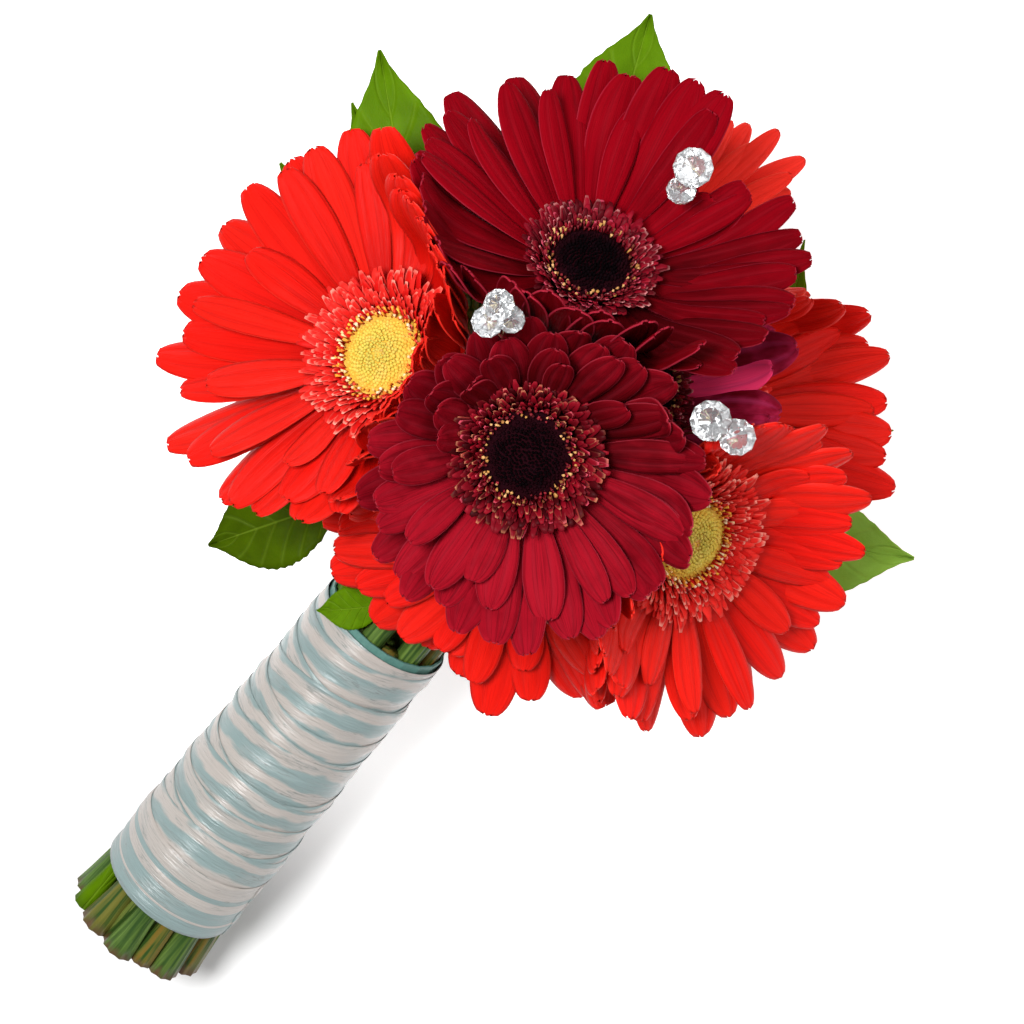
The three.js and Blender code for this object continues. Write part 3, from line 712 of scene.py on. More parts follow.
# The layers of a bloom, from the outermost: petals, share of the reach, more rise in degrees, width, the
# radius and height of the roots, and how far petals may vary in length. Roots start flatter, by "dip".
bloomKinds = {
    "open": {"dip": 16, "cup": (0.0, 1.2), "layers": [
        (20, 1.06, -1, 15.0, 11.5, -3.4, 0.05),
        (20, 1.0, 4, 14.0, 11.5, -2.7, 0.06),
        (16, 0.88, 9, 11.0, 12.0, -2.0, 0.16),
    ]},
    "full": {"dip": 20, "cup": (0.2, 1.4), "layers": [
        (20, 1.04, -1, 15.0, 11.5, -3.6, 0.05),
        (20, 1.0, 5, 14.0, 11.5, -2.9, 0.05),
        (13, 0.9, 11, 9.5, 12.0, -2.2, 0.14),
    ]},
    "velvet": {"dip": 26, "cup": (0.4, 1.3), "layers": [
        (18, 1.0, -5, 12.4, 11.5, -3.8, 0.04),
        (18, 0.96, 3, 11.4, 11.5, -3.1, 0.07),
        (14, 0.89, 9, 10.4, 11.8, -2.4, 0.12),
        (8, 0.78, 15, 8.6, 12.2, -1.8, 0.16),
    ]},
}


# a value that goes round with an angle in degrees, and is 0 where a row leaves it out
def aroundAt(rows, angle, column):
    rows = sorted(rows)
    wrapped = [(rows[-1][0] - 360, *rows[-1][1:]), *rows, (rows[0][0] + 360, *rows[0][1:])]
    values = [row[column] if len(row) > column else 0 for row in wrapped]
    return np.interp(angle % 360, [row[0] for row in wrapped], values)


def outlineAt(outline, t):
    places, shares = zip(*outline)
    return np.interp(t, places, shares)


# A flat unit blank, one wide and one long, shaped row by row: its outline, the rounded and notched tip,
# the grooves along it and the edges that turn down.
def petalBlank(name, notches, profile, arc, outline="outline"):
    blank = startGrid(name, petalShape["across"], petalShape["along"])
    for column, height in enumerate(profile):
        share = column / petalShape["across"]
        shift(lambda place: abs(abs(place.x) - share) < nearby, z=height)
        shift(lambda place: abs(abs(place.x) - share) < nearby and place.y > 0.49, y=arc[column])
    for column, depth in notches:
        share = column / petalShape["across"] - 0.5
        shift(lambda place: abs(place.x - share) < nearby and place.y > 0.46, y=-depth)
    for row in range(petalShape["along"], -1, -1):
        even = row / petalShape["along"]
        t = 1 - (1 - even) ** petalShape["crowd"]
        widen(lambda place: abs(place.y + 0.5 - even) < 0.031, outlineAt(petalShape[outline], t))
        bpy.ops.transform.translate(value=(0, t - even, 0))
    return closePiece(blank)


# heights, and how far back the tip lies, from the middle column to the edge
smoothProfile = [0.0, -0.006, -0.020, -0.008, -0.018, -0.042]
groovedProfile = [0.0, -0.010, -0.030, -0.010, -0.014, -0.034]
roundTip = [0.0, -0.001, -0.004, -0.010, -0.019, -0.030]
pointedTip = [0.0, -0.004, -0.014, -0.028, -0.046, -0.066]
blanks = {
    "plain": [petalBlank("petalPlain", [(4, 0.016)], smoothProfile, roundTip),
              petalBlank("petalNotched", [(3, 0.014), (6, 0.020)], smoothProfile, roundTip),
              petalBlank("petalPointed", [(6, 0.010)], smoothProfile, pointedTip)],
    "slender": [petalBlank("slenderPlain", [(4, 0.014)], smoothProfile, roundTip, "pointed"),
                petalBlank("slenderNotched", [(3, 0.012), (7, 0.016)], smoothProfile, roundTip, "pointed")],
    "mixed": [petalBlank("mixedPlain", [(5, 0.014)], smoothProfile, roundTip),
              petalBlank("mixedNotched", [(3, 0.012), (7, 0.014)], smoothProfile, roundTip, "pointed"),
              petalBlank("mixedPointed", [(4, 0.012)], smoothProfile, pointedTip)],
    "velvet": [petalBlank("velvetPlain", [(4, 0.012)], groovedProfile, roundTip, "pointed"),
               petalBlank("velvetNotched", [(3, 0.012), (7, 0.010)], groovedProfile, roundTip)],
}


# The line of one petal, in the upright plane through its azimuth, turned up or down before each wall.
def petalLine(bloom, azimuth, length, rise, dip, root, height, width):
    normals, limits = bloom["cell"]
    outward = np.array([math.cos(azimuth), math.sin(azimuth), 0])
    side = np.array([-math.sin(azimuth), math.cos(azimuth), 0])
    angles = petalShape["angles"]
    headings = np.cos(angles)[:, None] * outward + np.sin(angles)[:, None] * zUp
    steps = petalShape["steps"]
    step = length / steps
    point = outward * root + zUp * height
    last = math.radians(rise[0] - dip)
    found = []
    for i in range(steps):
        share = i / steps
        dipped = dip * max(0, 1 - share / petalShape["settle"])
        wanted = math.radians(rise[0] + (rise[1] - rise[0]) * share - dipped)
        half = width * outlineAt(petalShape["outline"], (i + 1) / steps) / 2
        cost = petalShape["stray"] * (angles - wanted) ** 2 + petalShape["bend"] * (angles - last) ** 2
        for reach, weight in ((step, 1.0), (step + petalShape["look"], petalShape["ahead"])):
            places = point + headings * reach
            for edge in (-half, 0, half):
                past = (places + side * edge) @ normals.T - limits
                cost = cost + weight * (np.maximum(past, 0) ** 2).sum(axis=1)
            world = toWorld(bloom, places)
            for low, radius in crystals:
                apart = np.hypot(*(world - low)[:, :2].T) - half * petalShape["under"]
                past = np.maximum(world[:, 2] - low[2], 0) * (apart < radius)
                cost = cost + petalShape["shy"] * weight * np.minimum(past, petalShape["most"]) ** 2
        last = angles[int(np.argmin(cost))]
        found.append(last)
        point = point + step * (math.cos(last) * outward + math.sin(last) * zUp)
    turned = np.array(found)
    for _ in range(petalShape["smoothing"]):
        turned[1:-1] = (turned[:-2] + 2 * turned[1:-1] + turned[2:]) / 4
    turned = np.append(turned, turned[-1])
    run = np.concatenate([[0], np.cumsum(step * np.cos(turned[:-1]))])
    climb = np.concatenate([[0], np.cumsum(step * np.sin(turned[:-1]))])
    return {"run": root + run, "climb": height + climb, "angle": turned, "outward": outward, "side": side}


# lays a blank on a petal's line, with its own roll, sway, cup and curl
def layPetal(blank, line, width, own):
    places = placesOf(blank)
    x, t, z = places[:, 0] * width, np.clip(places[:, 1] + 0.5, 0, 1), places[:, 2] * width
    shares = np.linspace(0, 1, len(line["run"]))
    run, climb, angle = (np.interp(t, shares, line[key]) for key in ("run", "climb", "angle"))
    curl = own["curl"] * np.maximum(t - petalShape["curled"], 0) ** 2
    lift = z - own["cup"] * (x / width * 2) ** 2 * t + curl
    roll = own["roll"] * smoothStep(0, petalShape["rolled"], t) + own["twist"] * t
    across = x * np.cos(roll) - lift * np.sin(roll)
    raised = x * np.sin(roll) + lift * np.cos(roll)
    across = across + own["sway"] * t * t
    flat = run - raised * np.sin(angle)
    return (flat[:, None] * line["outward"] + across[:, None] * line["side"]
            + (climb + raised * np.cos(angle))[:, None] * zUp)


# the direction of an azimuth of a bloom in the camera's picture, in degrees from the picture's right
def pictureAngle(bloom, azimuth):
    outward = bloom["turn"] @ [math.cos(azimuth), math.sin(azimuth), 0]
    return math.degrees(math.atan2(outward[1], outward[0])) - cameraSettings["turn"]


# the angle between two directions, in degrees
def between(first, second):
    return abs((first - second + 180) % 360 - 180)


# the azimuth of a bloom that shows at an angle of the picture
def azimuthOf(bloom, angle):
    aside = [between(pictureAngle(bloom, math.radians(n)), angle) for n in range(360)]
    return math.radians(aside.index(min(aside)))


def petalsOf(bloom, dice):
    kind = bloomKinds[bloom["kind"]]
    form = bloom.get("form", [(0, 1.0)])
    choice = blanks[bloom.get("shape", "plain")]
    oneBright = "bright" in bloom
    parts = []
    for depth, (count, reach, lift, wide, root, height, vary) in enumerate(kind["layers"]):
        top = depth == brightPetal["layer"]
        spin = azimuthOf(bloom, bloom["bright"]) if oneBright and top else 0
        for i in range(count):
            place = i + (depth % 2) / 2 + wobble(dice, petalVary["place"])
            azimuth = place / count * 2 * math.pi + spin
            angle = pictureAngle(bloom, azimuth)
            aside = between(angle, bloom.get("bright", 180))
            if oneBright and not top and aside < brightPetal["clear"]:
                continue
            share = reach * (1 + dice.uniform(-1, 0.5) * vary) * aroundAt(form, angle, 1)
            width = wide * dice.uniform(*petalVary["width"]) * bloom.get("slim", 1)
            turned = 0
            if "turned" in bloom:
                turned = smoothStep(onEdge["from"], onEdge["to"], between(angle, bloom["turned"]))
            width *= 1 - onEdge["narrower"] * turned
            roll = leastRoll + onEdge["roll"] * turned + wobble(dice, petalVary["roll"])
            own = {"roll": math.radians(roll), "twist": math.radians(wobble(dice, petalVary["twist"])),
                   "sway": wobble(dice, petalVary["sway"]), "cup": dice.uniform(*kind["cup"]),
                   "curl": wobble(dice, petalVary["curl"])}
            more = lift + aroundAt(form, angle, 2) + wobble(dice, petalVary["rise"])
            rise = [bloom["rise"][0] + more, bloom["rise"][1] + more]
            length = bloom["reach"] * share - root
            line = petalLine(bloom, azimuth, length, rise, kind["dip"], root, height, width)
            blank = choice[dice.randrange(len(choice))]
            tone = dice.random()
            # petals toward the picture angle "glow" take the bright colours, those away from it the deep
            # ones: painted light and shade across the bloom
            if "glow" in bloom:
                near = 0.5 + 0.5 * math.cos(math.radians(angle - bloom["glow"]))
                tone = 0.35 * tone + 0.65 * near ** bloom.get("focus", 1)
            if oneBright:
                tone = brightPetal["others"][0] + tone * brightPetal["others"][1]
            if oneBright and top and aside < brightPetal["near"]:
                tone = 1.0
                width *= brightPetal["wider"]
                own["roll"] = 0.0
            parts.append(copyOf(blank, toWorld(bloom, layPetal(blank, line, width, own)), tone))
    return [walled(parts, petalShape["thick"])]


# ---- florets, stamens, buds and calyx ----

# how far florets and stamens leave their even places, in steps, and how far they lean sideways
ringVary = {"place": 0.4, "sideways": 0.25}

floretShape = {
    "across": 2,
    "along": 4,
    "inner": 12.4,          # radii of the first and last ring of feet
    "outer": {"open": 19.4, "full": 16.4, "velvet": 18.0},
    "rings": 7,
    "spacing": 1.45,
    "length": {"open": (3.4, 6.6), "full": (3.2, 5.0), "velvet": (3.3, 6.0)},
    "width": (1.2, 2.4),
    "first": (84, 38),      # the foot's angle, in the first and last ring
    "last": (56, 8),        # the tip's angle
    "slope": {"open": 7, "full": 13, "velvet": 22},
    "flatter": 4,           # the feet rise outward by this much less than the slope
    "foot": 0.2,
    "thick": 0.22,
    "vary": {"angle": 10, "radius": 0.6, "length": (0.7, 1.25), "width": (0.75, 1.25)},
}


def floretBlank():
    blank = startGrid("floret", floretShape["across"], floretShape["along"])
    shift(lambda place: place.y > 0.49 and abs(place.x) < nearby, y=0.05)
    widen(lambda place: place.y < -0.4, 0.5)
    widen(lambda place: abs(place.y - 0.25) < 0.02, 0.8)
    widen(lambda place: place.y > 0.45, 0.4)
    shift(lambda place: abs(place.x) > 0.2, z=0.12)
    return closePiece(blank)


# a closed bristle with a thick head, standing on its foot
def stamenBlank():
    maker = bpy.ops.mesh.primitive_cylinder_add
    blank = startPiece("stamen", maker, vertices=5, radius=0.5, depth=1, end_fill_type="TRIFAN")
    bpy.ops.mesh.bisect(plane_co=(0, 0, 0.1), plane_no=(0, 0, 1))
    widen(lambda place: place.z < -0.4, 0.45, 0.45)
    widen(lambda place: abs(place.z - 0.1) < nearby, 0.6, 0.6)
    closePiece(blank)
    heights = cornerPlaces(blank)[:, 2] + 0.5
    blank.data.uv_layers[0].data.foreach_set("uv", np.stack([heights * 0 + 0.5, heights], axis=1).ravel())
    return blank


floret = floretBlank()
stamen = stamenBlank()
bud = closePiece(startPiece("bud", bpy.ops.mesh.primitive_ico_sphere_add, subdivisions=1, radius=0.5))


arcSteps = 8


# lays a blank from a foot along an arc of two angles, in the upright plane through an azimuth
def layArc(blank, azimuth, radius, height, length, width, angles, sideways=0.0):
    places = placesOf(blank)
    upright = blank is stamen
    t = (places[:, 2] if upright else places[:, 1]) + 0.5
    depth = places[:, 1] if upright else places[:, 2]
    outward = np.array([math.cos(azimuth), math.sin(azimuth), 0])
    side = np.array([-math.sin(azimuth), math.cos(azimuth), 0])
    first, last = np.radians(angles)
    shares = np.linspace(0, 1, arcSteps + 1)
    bent = first + (last - first) * shares
    halfway = (bent[1:] + bent[:-1]) / 2
    run, climb = [np.concatenate([[0], np.cumsum(part(halfway) * (length / arcSteps))])
                  for part in (np.cos, np.sin)]
    angle = first + (last - first) * t
    raised = depth * width
    flat = radius + np.interp(t, shares, run) - raised * np.sin(angle)
    across = places[:, 0] * width + sideways * t * length
    tall = height + np.interp(t, shares, climb) + raised * np.cos(angle)
    return flat[:, None] * outward + across[:, None] * side + tall[:, None] * zUp


def floretsOf(bloom, dice):
    shape, vary = floretShape, floretShape["vary"]
    slope, outer = shape["slope"][bloom["kind"]], shape["outer"][bloom["kind"]]
    spans = [shape["length"][bloom["kind"]], shape["width"], shape["first"], shape["last"]]
    parts = []
    for ring in range(shape["rings"]):
        share = ring / (shape["rings"] - 1)
        radius = shape["inner"] + (outer - shape["inner"]) * share
        steep = math.tan(math.radians(slope - shape["flatter"]))
        height = shape["foot"] + (radius - shape["inner"]) * steep
        count = int(2 * math.pi * radius / shape["spacing"])
        length, width, first, last = [low + (high - low) * share for low, high in spans]
        for i in range(count):
            azimuth = (i + 0.5 * (ring % 2) + wobble(dice, ringVary["place"])) / count * 2 * math.pi
            angles = [angle + slope * share + wobble(dice, vary["angle"]) for angle in (first, last)]
            places = layArc(floret, azimuth, radius + wobble(dice, vary["radius"]), height,
                            length * dice.uniform(*vary["length"]), width * dice.uniform(*vary["width"]),
                            angles, wobble(dice, ringVary["sideways"]))
            parts.append(copyOf(floret, toWorld(bloom, places), dice.random()))
    return [walled(parts, floretShape["thick"])]


stamenShape = {
    "rings": [(10.9, 1.0, 2.6), (11.8, 0.8, 3.0), (12.8, 0.6, 3.3)],      # radius, foot height, length
    "spacing": 1.5,
    "width": 0.85,
    "first": 88,
    "last": 62,
    "vary": {"radius": 0.3, "length": (0.6, 1.15), "width": (0.7, 1.3), "first": 12, "last": 22},
}


def stamensOf(bloom, dice):
    shape, vary = stamenShape, stamenShape["vary"]
    parts = []
    for radius, height, length in shape["rings"]:
        count = int(2 * math.pi * radius / shape["spacing"])
        for i in range(count):
            azimuth = (i + wobble(dice, ringVary["place"])) / count * 2 * math.pi
            places = layArc(stamen, azimuth, radius + wobble(dice, vary["radius"]), height,
                            length * dice.uniform(*vary["length"]),
                            shape["width"] * dice.uniform(*vary["width"]),
                            [shape[end] + wobble(dice, vary[end]) for end in ("first", "last")],
                            wobble(dice, ringVary["sideways"]))
            parts.append(copyOf(stamen, toWorld(bloom, places), dice.random()))
    return parts


discShape = {
    "core": {"radius": 13.2, "tall": 3.0, "height": -0.5, "foot": -0.6},
    "radius": 10.6,
    "edge": 0.3,
    "dome": 2.6,
    "buds": 330,
    "size": 1.3,
    "least": 0.75,          # a bud's size in the middle, and how much larger it is at the edge
    "grow": 0.4,
    "hollow": (0.5, 0.3),   # the depth and the radius of the hollow in the middle of a yellow disc
    "dark": (0.75, 2.4),    # the buds of a dark disc are thinner and taller
    "vary": {"size": (0.8, 1.15), "tall": (0.75, 1.3), "radius": 0.25, "tone": 0.12},
}
goldenAngle = 2.39996


# the upper half of a ball, closed below
def coreBlank():
    core = startPiece("discCore", bpy.ops.mesh.primitive_uv_sphere_add, segments=32, ring_count=16, radius=1)
    bpy.ops.mesh.bisect(plane_co=(0, 0, 0), plane_no=(0, 0, 1), clear_inner=True, use_fill=True)
    return closePiece(core)


core = coreBlank()


# the disc: a dome of small closed buds in a spiral, on a solid core
def discOf(bloom, dice):
    shape, vary, base = discShape, discShape["vary"], discShape["core"]
    places = placesOf(core)
    shaped = places * [base["radius"], base["radius"], base["tall"]]
    shaped[:, 2] += base["height"]
    shaped[places[:, 2] < nearby, 2] = base["foot"]
    parts = [copyOf(core, toWorld(bloom, shaped), 1.0)]
    unitBud = placesOf(bud)
    dark = bloom["kind"] != "open"
    slim, high = shape["dark"] if dark else (1, 1.0)
    for i in range(shape["buds"]):
        share = math.sqrt((i + 0.5) / shape["buds"])
        angle = i * goldenAngle
        height = shape["edge"] + shape["dome"] * math.sqrt(max(0, 1 - share ** 2))
        if not dark:
            deep, wide = shape["hollow"]
            height -= deep * (1 - smoothStep(0, wide, share))
        grown = shape["size"] * (shape["least"] + shape["grow"] * share)
        size = grown * dice.uniform(*vary["size"]) * slim
        tall = size * high * dice.uniform(*vary["tall"])
        radius = share * shape["radius"] + wobble(dice, vary["radius"])
        foot = [radius * math.cos(angle), radius * math.sin(angle), height]
        tone = min(1.0, max(0.0, share + wobble(dice, vary["tone"])))
        parts.append(copyOf(bud, toWorld(bloom, unitBud * [size, size, tall] + foot), tone))
    return parts


# ---- stems, calyx and wires ----


# a closed rod, one long, built up from a ribbed circle
def rodBlank(name, sides, steps, rib):
    blank = startPiece(name, bpy.ops.mesh.primitive_circle_add, vertices=sides, radius=1, fill_type="NGON")
    turns = [2 * math.pi * i / sides for i in range(0, sides, 2)]
    corners = [(math.cos(turn), math.sin(turn)) for turn in turns]
    widen(lambda place: min(math.dist(place[:2], corner) for corner in corners) < 0.02, 1 - rib, 1 - rib)
    pick(lambda place: True)
    for _ in range(steps):
        bpy.ops.mesh.extrude_region_move(TRANSFORM_OT_translate={"value": (0, 0, 1 / steps)})
    closePiece(blank, closed=True)
    mesh = blank.data
    layer = mesh.uv_layers[0] if mesh.uv_layers else mesh.uv_layers.new(name="UVMap")
    layer.name = "UVMap"
    places = cornerPlaces(blank)
    around = np.arctan2(places[:, 1], places[:, 0]) / (2 * math.pi) + 0.5
    for face in mesh.polygons:
        corners = list(face.loop_indices)
        if len(corners) == 4 and around[corners].max() - around[corners].min() > 0.5:
            around[corners] = np.where(around[corners] < 0.5, around[corners] + 1, around[corners])
    layer.data.foreach_set("uv", np.stack([around, places[:, 2]], axis=1).ravel())
    return blank


# lays a rod on a line of even steps, with a radius for each step
def layRod(blank, line, radii):
    places = placesOf(blank)
    tangents = np.gradient(line, axis=0)
    tangents /= np.linalg.norm(tangents, axis=1)[:, None]
    normal = unit(np.cross(tangents[0], [0.1, 1, 0.2]))
    normals = []
    for tangent in tangents:
        normal = unit(normal - tangent * (normal @ tangent))
        normals.append(normal)
    normals = np.array(normals)
    others = np.cross(tangents, normals)
    shares = np.linspace(0, 1, len(line))
    t = places[:, 2]
    centre, first, second = [np.stack([np.interp(t, shares, rows[:, k]) for k in range(3)], axis=1)
                             for rows in (line, normals, others)]
    size = np.interp(t, shares, radii)
    return centre + (places[:, 0] * size)[:, None] * first + (places[:, 1] * size)[:, None] * second


stemShape = {
    "sides": 20,
    "steps": 44,
    "rib": 0.10,
    "cut": 6.0,             # radii at the cut end, in the middle and at the neck
    "radius": 3.95,
    "neck": 3.1,
    "firm": 17,             # how far the wide cut end reaches
    "slims": 0.6,           # the share of the length after which it slims to the neck
    "below": -12.5,
}
stemRod = rodBlank("stemRod", stemShape["sides"], stemShape["steps"], stemShape["rib"])
# "run" and "arrive" are shares of the twig's reach, and "radii" go by its length
twigShape = {"sides": 10, "steps": 30, "rib": 0.05, "fine": 60, "run": 0.45, "arrive": 0.3,
             "radii": [(0, 4.2), (0.085, 2.4), (0.6, 2.1), (1, 1.3)], "tone": 0.4}
twigRod = rodBlank("twigRod", twigShape["sides"], twigShape["steps"], twigShape["rib"])
wireShape = {"sides": 8, "steps": 12, "radius": 0.38}
wireRod = rodBlank("wireRod", wireShape["sides"], wireShape["steps"], 0.0)

calyxShape = {
    "profile": [(0, -14.2), (3.6, -14.2), (4.6, -12.5), (7.2, -9.0), (9.6, -6.2), (11.4, -3.9),
                (12.6, -3.2), (0, -3.2)],
    "rings": [(10.2, -6.8, 7.5, (40, 18)), (7.6, -9.8, 7.0, (52, 40)), (5.4, -12.8, 6.0, (60, 48))],
    "bracts": 16,
    "along": 5,
    "outline": (0.7, 1.0, 1.0, 0.8, 0.5, 0.06),
    "width": 4.2,
    "thick": 0.3,
}


def bractBlank():
    blank = startGrid("bract", 2, calyxShape["along"])
    for row, width in enumerate(calyxShape["outline"]):
        widen(lambda place: abs(place.y + 0.5 - row / calyxShape["along"]) < 0.02, width)
    shift(lambda place: abs(place.x) < nearby, z=-0.1)
    return closePiece(blank)


# a cup turned from its profile
def cupBlank():
    cup = startPiece("calyxCup", bpy.ops.mesh.primitive_circle_add, vertices=3, radius=1)
    mesh = bmesh.from_edit_mesh(cup.data)
    bmesh.ops.delete(mesh, geom=list(mesh.verts), context="VERTS")
    dots = [mesh.verts.new((radius, 0, height)) for radius, height in calyxShape["profile"]]
    for first, second in zip(dots, dots[1:]):
        mesh.edges.new((first, second))
    bmesh.update_edit_mesh(cup.data)
    bpy.ops.mesh.select_all(action="SELECT")
    bpy.ops.mesh.spin(steps=28, angle=2 * math.pi, center=(0, 0, 0), axis=(0, 0, 1))
    bpy.ops.mesh.select_all(action="SELECT")
    bpy.ops.mesh.remove_doubles(threshold=0.001)
    return closePiece(cup, closed=True)


bract = bractBlank()
cup = cupBlank()


# the green cup below a bloom: a turned cup under rings of overlapping bracts
def calyxOf(bloom, dice):
    bracts = []
    for ring, (radius, height, length, angles) in enumerate(calyxShape["rings"]):
        count = calyxShape["bracts"] - 2 * ring
        for i in range(count):
            azimuth = (i + ring / 2 + wobble(dice, 0.2)) / count * 2 * math.pi
            places = layArc(bract, azimuth, radius, height, length, calyxShape["width"] - 0.5 * ring, angles)
            bracts.append(copyOf(bract, toWorld(bloom, places), dice.random()))
    return [copyOf(cup, toWorld(bloom, placesOf(cup)), 0.5), walled(bracts, calyxShape["thick"])]


def stemOf(bloom, dice):
    neck = bloom["centre"] + bloom["normal"] * stemShape["below"]
    ring, seat = ("ring", "seat") if "seat" in bloom else ("core", "heart")
    line = stemLine(bundle[ring], bloom[seat], neck, bloom["normal"], bloom, stemShape["steps"])
    along = np.linspace(0, np.linalg.norm(np.diff(line, axis=0), axis=1).sum(), len(line))
    knots = [0, stemShape["firm"], along[-1] * stemShape["slims"], along[-1]]
    radii = np.interp(along, knots, [stemShape[size] for size in ("cut", "radius", "radius", "neck")])
    return [copyOf(stemRod, layRod(stemRod, line, radii), dice.random())]


# ---- leafy sprigs ----

# A leaf: where it starts, as a share of the twig above the tie or as a place, its tip, the way that it
# faces, its width, its bow, and its tone where that is given. A low tone given here is painted shade.
sprigs = [
    {"name": "left", "seat": 106, "end": (200, 48, 112), "leaves": [
        (0.97, (249.2, 107.1, 118), (-0.3, -0.2, 0.93), 35, 5, 0.42),
        (0.9, (233, 104.5, 106), (-0.3, 0, 0.9), 24, 3),
        (0.8, (206.4, 110.8, 92), (-0.3, 0.3, 0.9), 30, 5),
    ]},
    {"name": "low_left", "seat": 56.8, "end": (142, 33, 90),
     "turns": [(150, 15.6, 10.4), (157, 27, 11)], "leaves": [
        # this leaf lies in shade, and its low tone paints that shade
        (0.96, (103.8, 55.4, 76), (-0.3, 0.2, 0.93), 28, 4, 0.06),
        ((125.5, 2.5, 98), (110.3, 17.4, 93), (-0.4, 0.1, 0.9), 13, 2, 0.4),
    ]},
    {"name": "head", "inner": (9.7, 62), "end": (250, 28, 108), "leaves": [
        (0.97, (309.3, 53.8, 103), (-0.1, -0.1, 1), 36, 4, 0.45),
    ]},
    {"name": "right", "seat": 253.6, "end": (244, -62, 78),
     "turns": [(164, -20, -5.8), (205, -58, -22)], "leaves": [
        (0.66, (237.2, -111.5, 72), (0.1, -0.3, 0.95), 33, 4, 0.95),
        (0.97, (290.1, -24.1, 76), (0.2, -0.1, 0.95), 14, -14),
        (0.9, (263.1, -81.9, 74), (0.2, -0.3, 0.95), 12, -9),
        (0.4, (168.6, -53.1, 106), (-0.2, -0.2, 0.95), 22, 3),
    ]},
    {"name": "under_left", "seat": 155.2, "end": (176, 32, 30), "leaves": [
        (0.95, (168, 92, 34), (0, 0.1, -1), 30, 4),
    ]},
    {"name": "under_right", "seat": 204.4, "end": (176, -24, 26), "leaves": [
        (0.95, (180, -86, 26), (0, -0.1, -1), 30, 4),
    ]},
]

leafShape = {
    "across": 12,
    "along": 34,
    "outline": [(0, 0.05), (0.05, 0.12), (0.1, 0.34), (0.2, 0.68), (0.34, 0.93), (0.46, 1.0), (0.58, 0.96),
                (0.7, 0.78), (0.8, 0.52), (0.88, 0.28), (0.94, 0.13), (1.0, 0.03)],
    "tooth": 0.018,
    "fold": 0.10,
    "ruffle": 0.9,          # the edges' waves: their height, how close they lie, and how far the two
    "waves": 9,             # sides differ
    "uneven": 1.3,
    "thick": 0.45,
}


# an ovate leaf blank with a drawn-out tip, fine teeth and a blade folded a little along its midrib
def leafBlank():
    blank = startGrid("leaf", leafShape["across"], leafShape["along"])
    for column in range(leafShape["across"] // 2 + 1):
        share = column / leafShape["across"]
        shift(lambda place: abs(abs(place.x) - share) < nearby, z=leafShape["fold"] * share)
    for row in range(leafShape["along"], -1, -1):
        t = row / leafShape["along"]
        toothed = 1 + (leafShape["tooth"] if row % 2 else -leafShape["tooth"])
        widen(lambda place: abs(place.y + 0.5 - t) < nearby and abs(place.x) > 0.49, toothed)
        widen(lambda place: abs(place.y + 0.5 - t) < nearby, outlineAt(leafShape["outline"], t))
    return closePiece(blank)


leafPattern = leafBlank()


def layLeaf(foot, tip, facing, width, bow, dice):
    forward = unit(tip - foot)
    side = unit(np.cross(unit(facing), forward))
    up = np.cross(forward, side)
    places = placesOf(leafPattern)
    t = places[:, 1] + 0.5
    line = bezier([foot, (foot + tip) / 2 + up * 2 * bow, tip], t)
    x, z = places[:, 0] * width, places[:, 2] * width
    waves = np.sin(t * leafShape["waves"] + dice.uniform(0, 6) + np.sign(x) * leafShape["uneven"])
    ruffle = leafShape["ruffle"] * waves * (np.abs(places[:, 0]) * 2) ** 2
    return line + x[:, None] * side + (z + ruffle)[:, None] * up


def sprigOf(sprig, dice):
    radius, angle = sprig.get("inner", (bundle["twigs"], sprig.get("seat")))
    end = np.array(sprig["end"], float)
    way = np.array(sprig["leaves"][0][1], float) - end
    reach = float(np.linalg.norm(end - inBundle(bundle["tie"], 0, 0)))
    ends = {key: reach * twigShape[key] for key in ("run", "arrive")}
    line = stemLine(radius, angle, end, way, {**ends, **sprig}, twigShape["fine"])
    whole = np.concatenate([[0], np.cumsum(np.linalg.norm(np.diff(line, axis=0), axis=1))])
    count = twigShape["steps"] + 1
    radii = outlineAt(twigShape["radii"], np.linspace(0, 1, count))
    places = layRod(twigRod, evenly(line, count), radii)
    twig = copyOf(twigRod, places, dice.uniform(0, twigShape["tone"]))
    leaves = []
    for start, tip, facing, width, bow, *tone in sprig["leaves"]:
        if not isinstance(start, tuple):
            at = bundle["tie"] + (whole[-1] - bundle["tie"]) * start
            start = [np.interp(at, whole, line[:, k]) for k in range(3)]
        places = layLeaf(np.array(start), np.array(tip, float), facing, width, bow, dice)
        drawn = 0.3 + 0.4 * dice.random()
        leaves.append(copyOf(leafPattern, places, *(tone or [drawn])))
    return [twig, walled(leaves, leafShape["thick"])]


# ---- ribbon ----

ribbonShape = {
    "from": 19.0,
    "to": 139.0,
    "width": 24.0,
    "turns": 13.4,
    "inner": 20.7,
    "flare": 1.04,
    "lift": 0.34,
    "grow": 0.10,           # how much each turn adds to the radius
    "across": 16,
    "around": 84,
    "thick": 0.12,
}


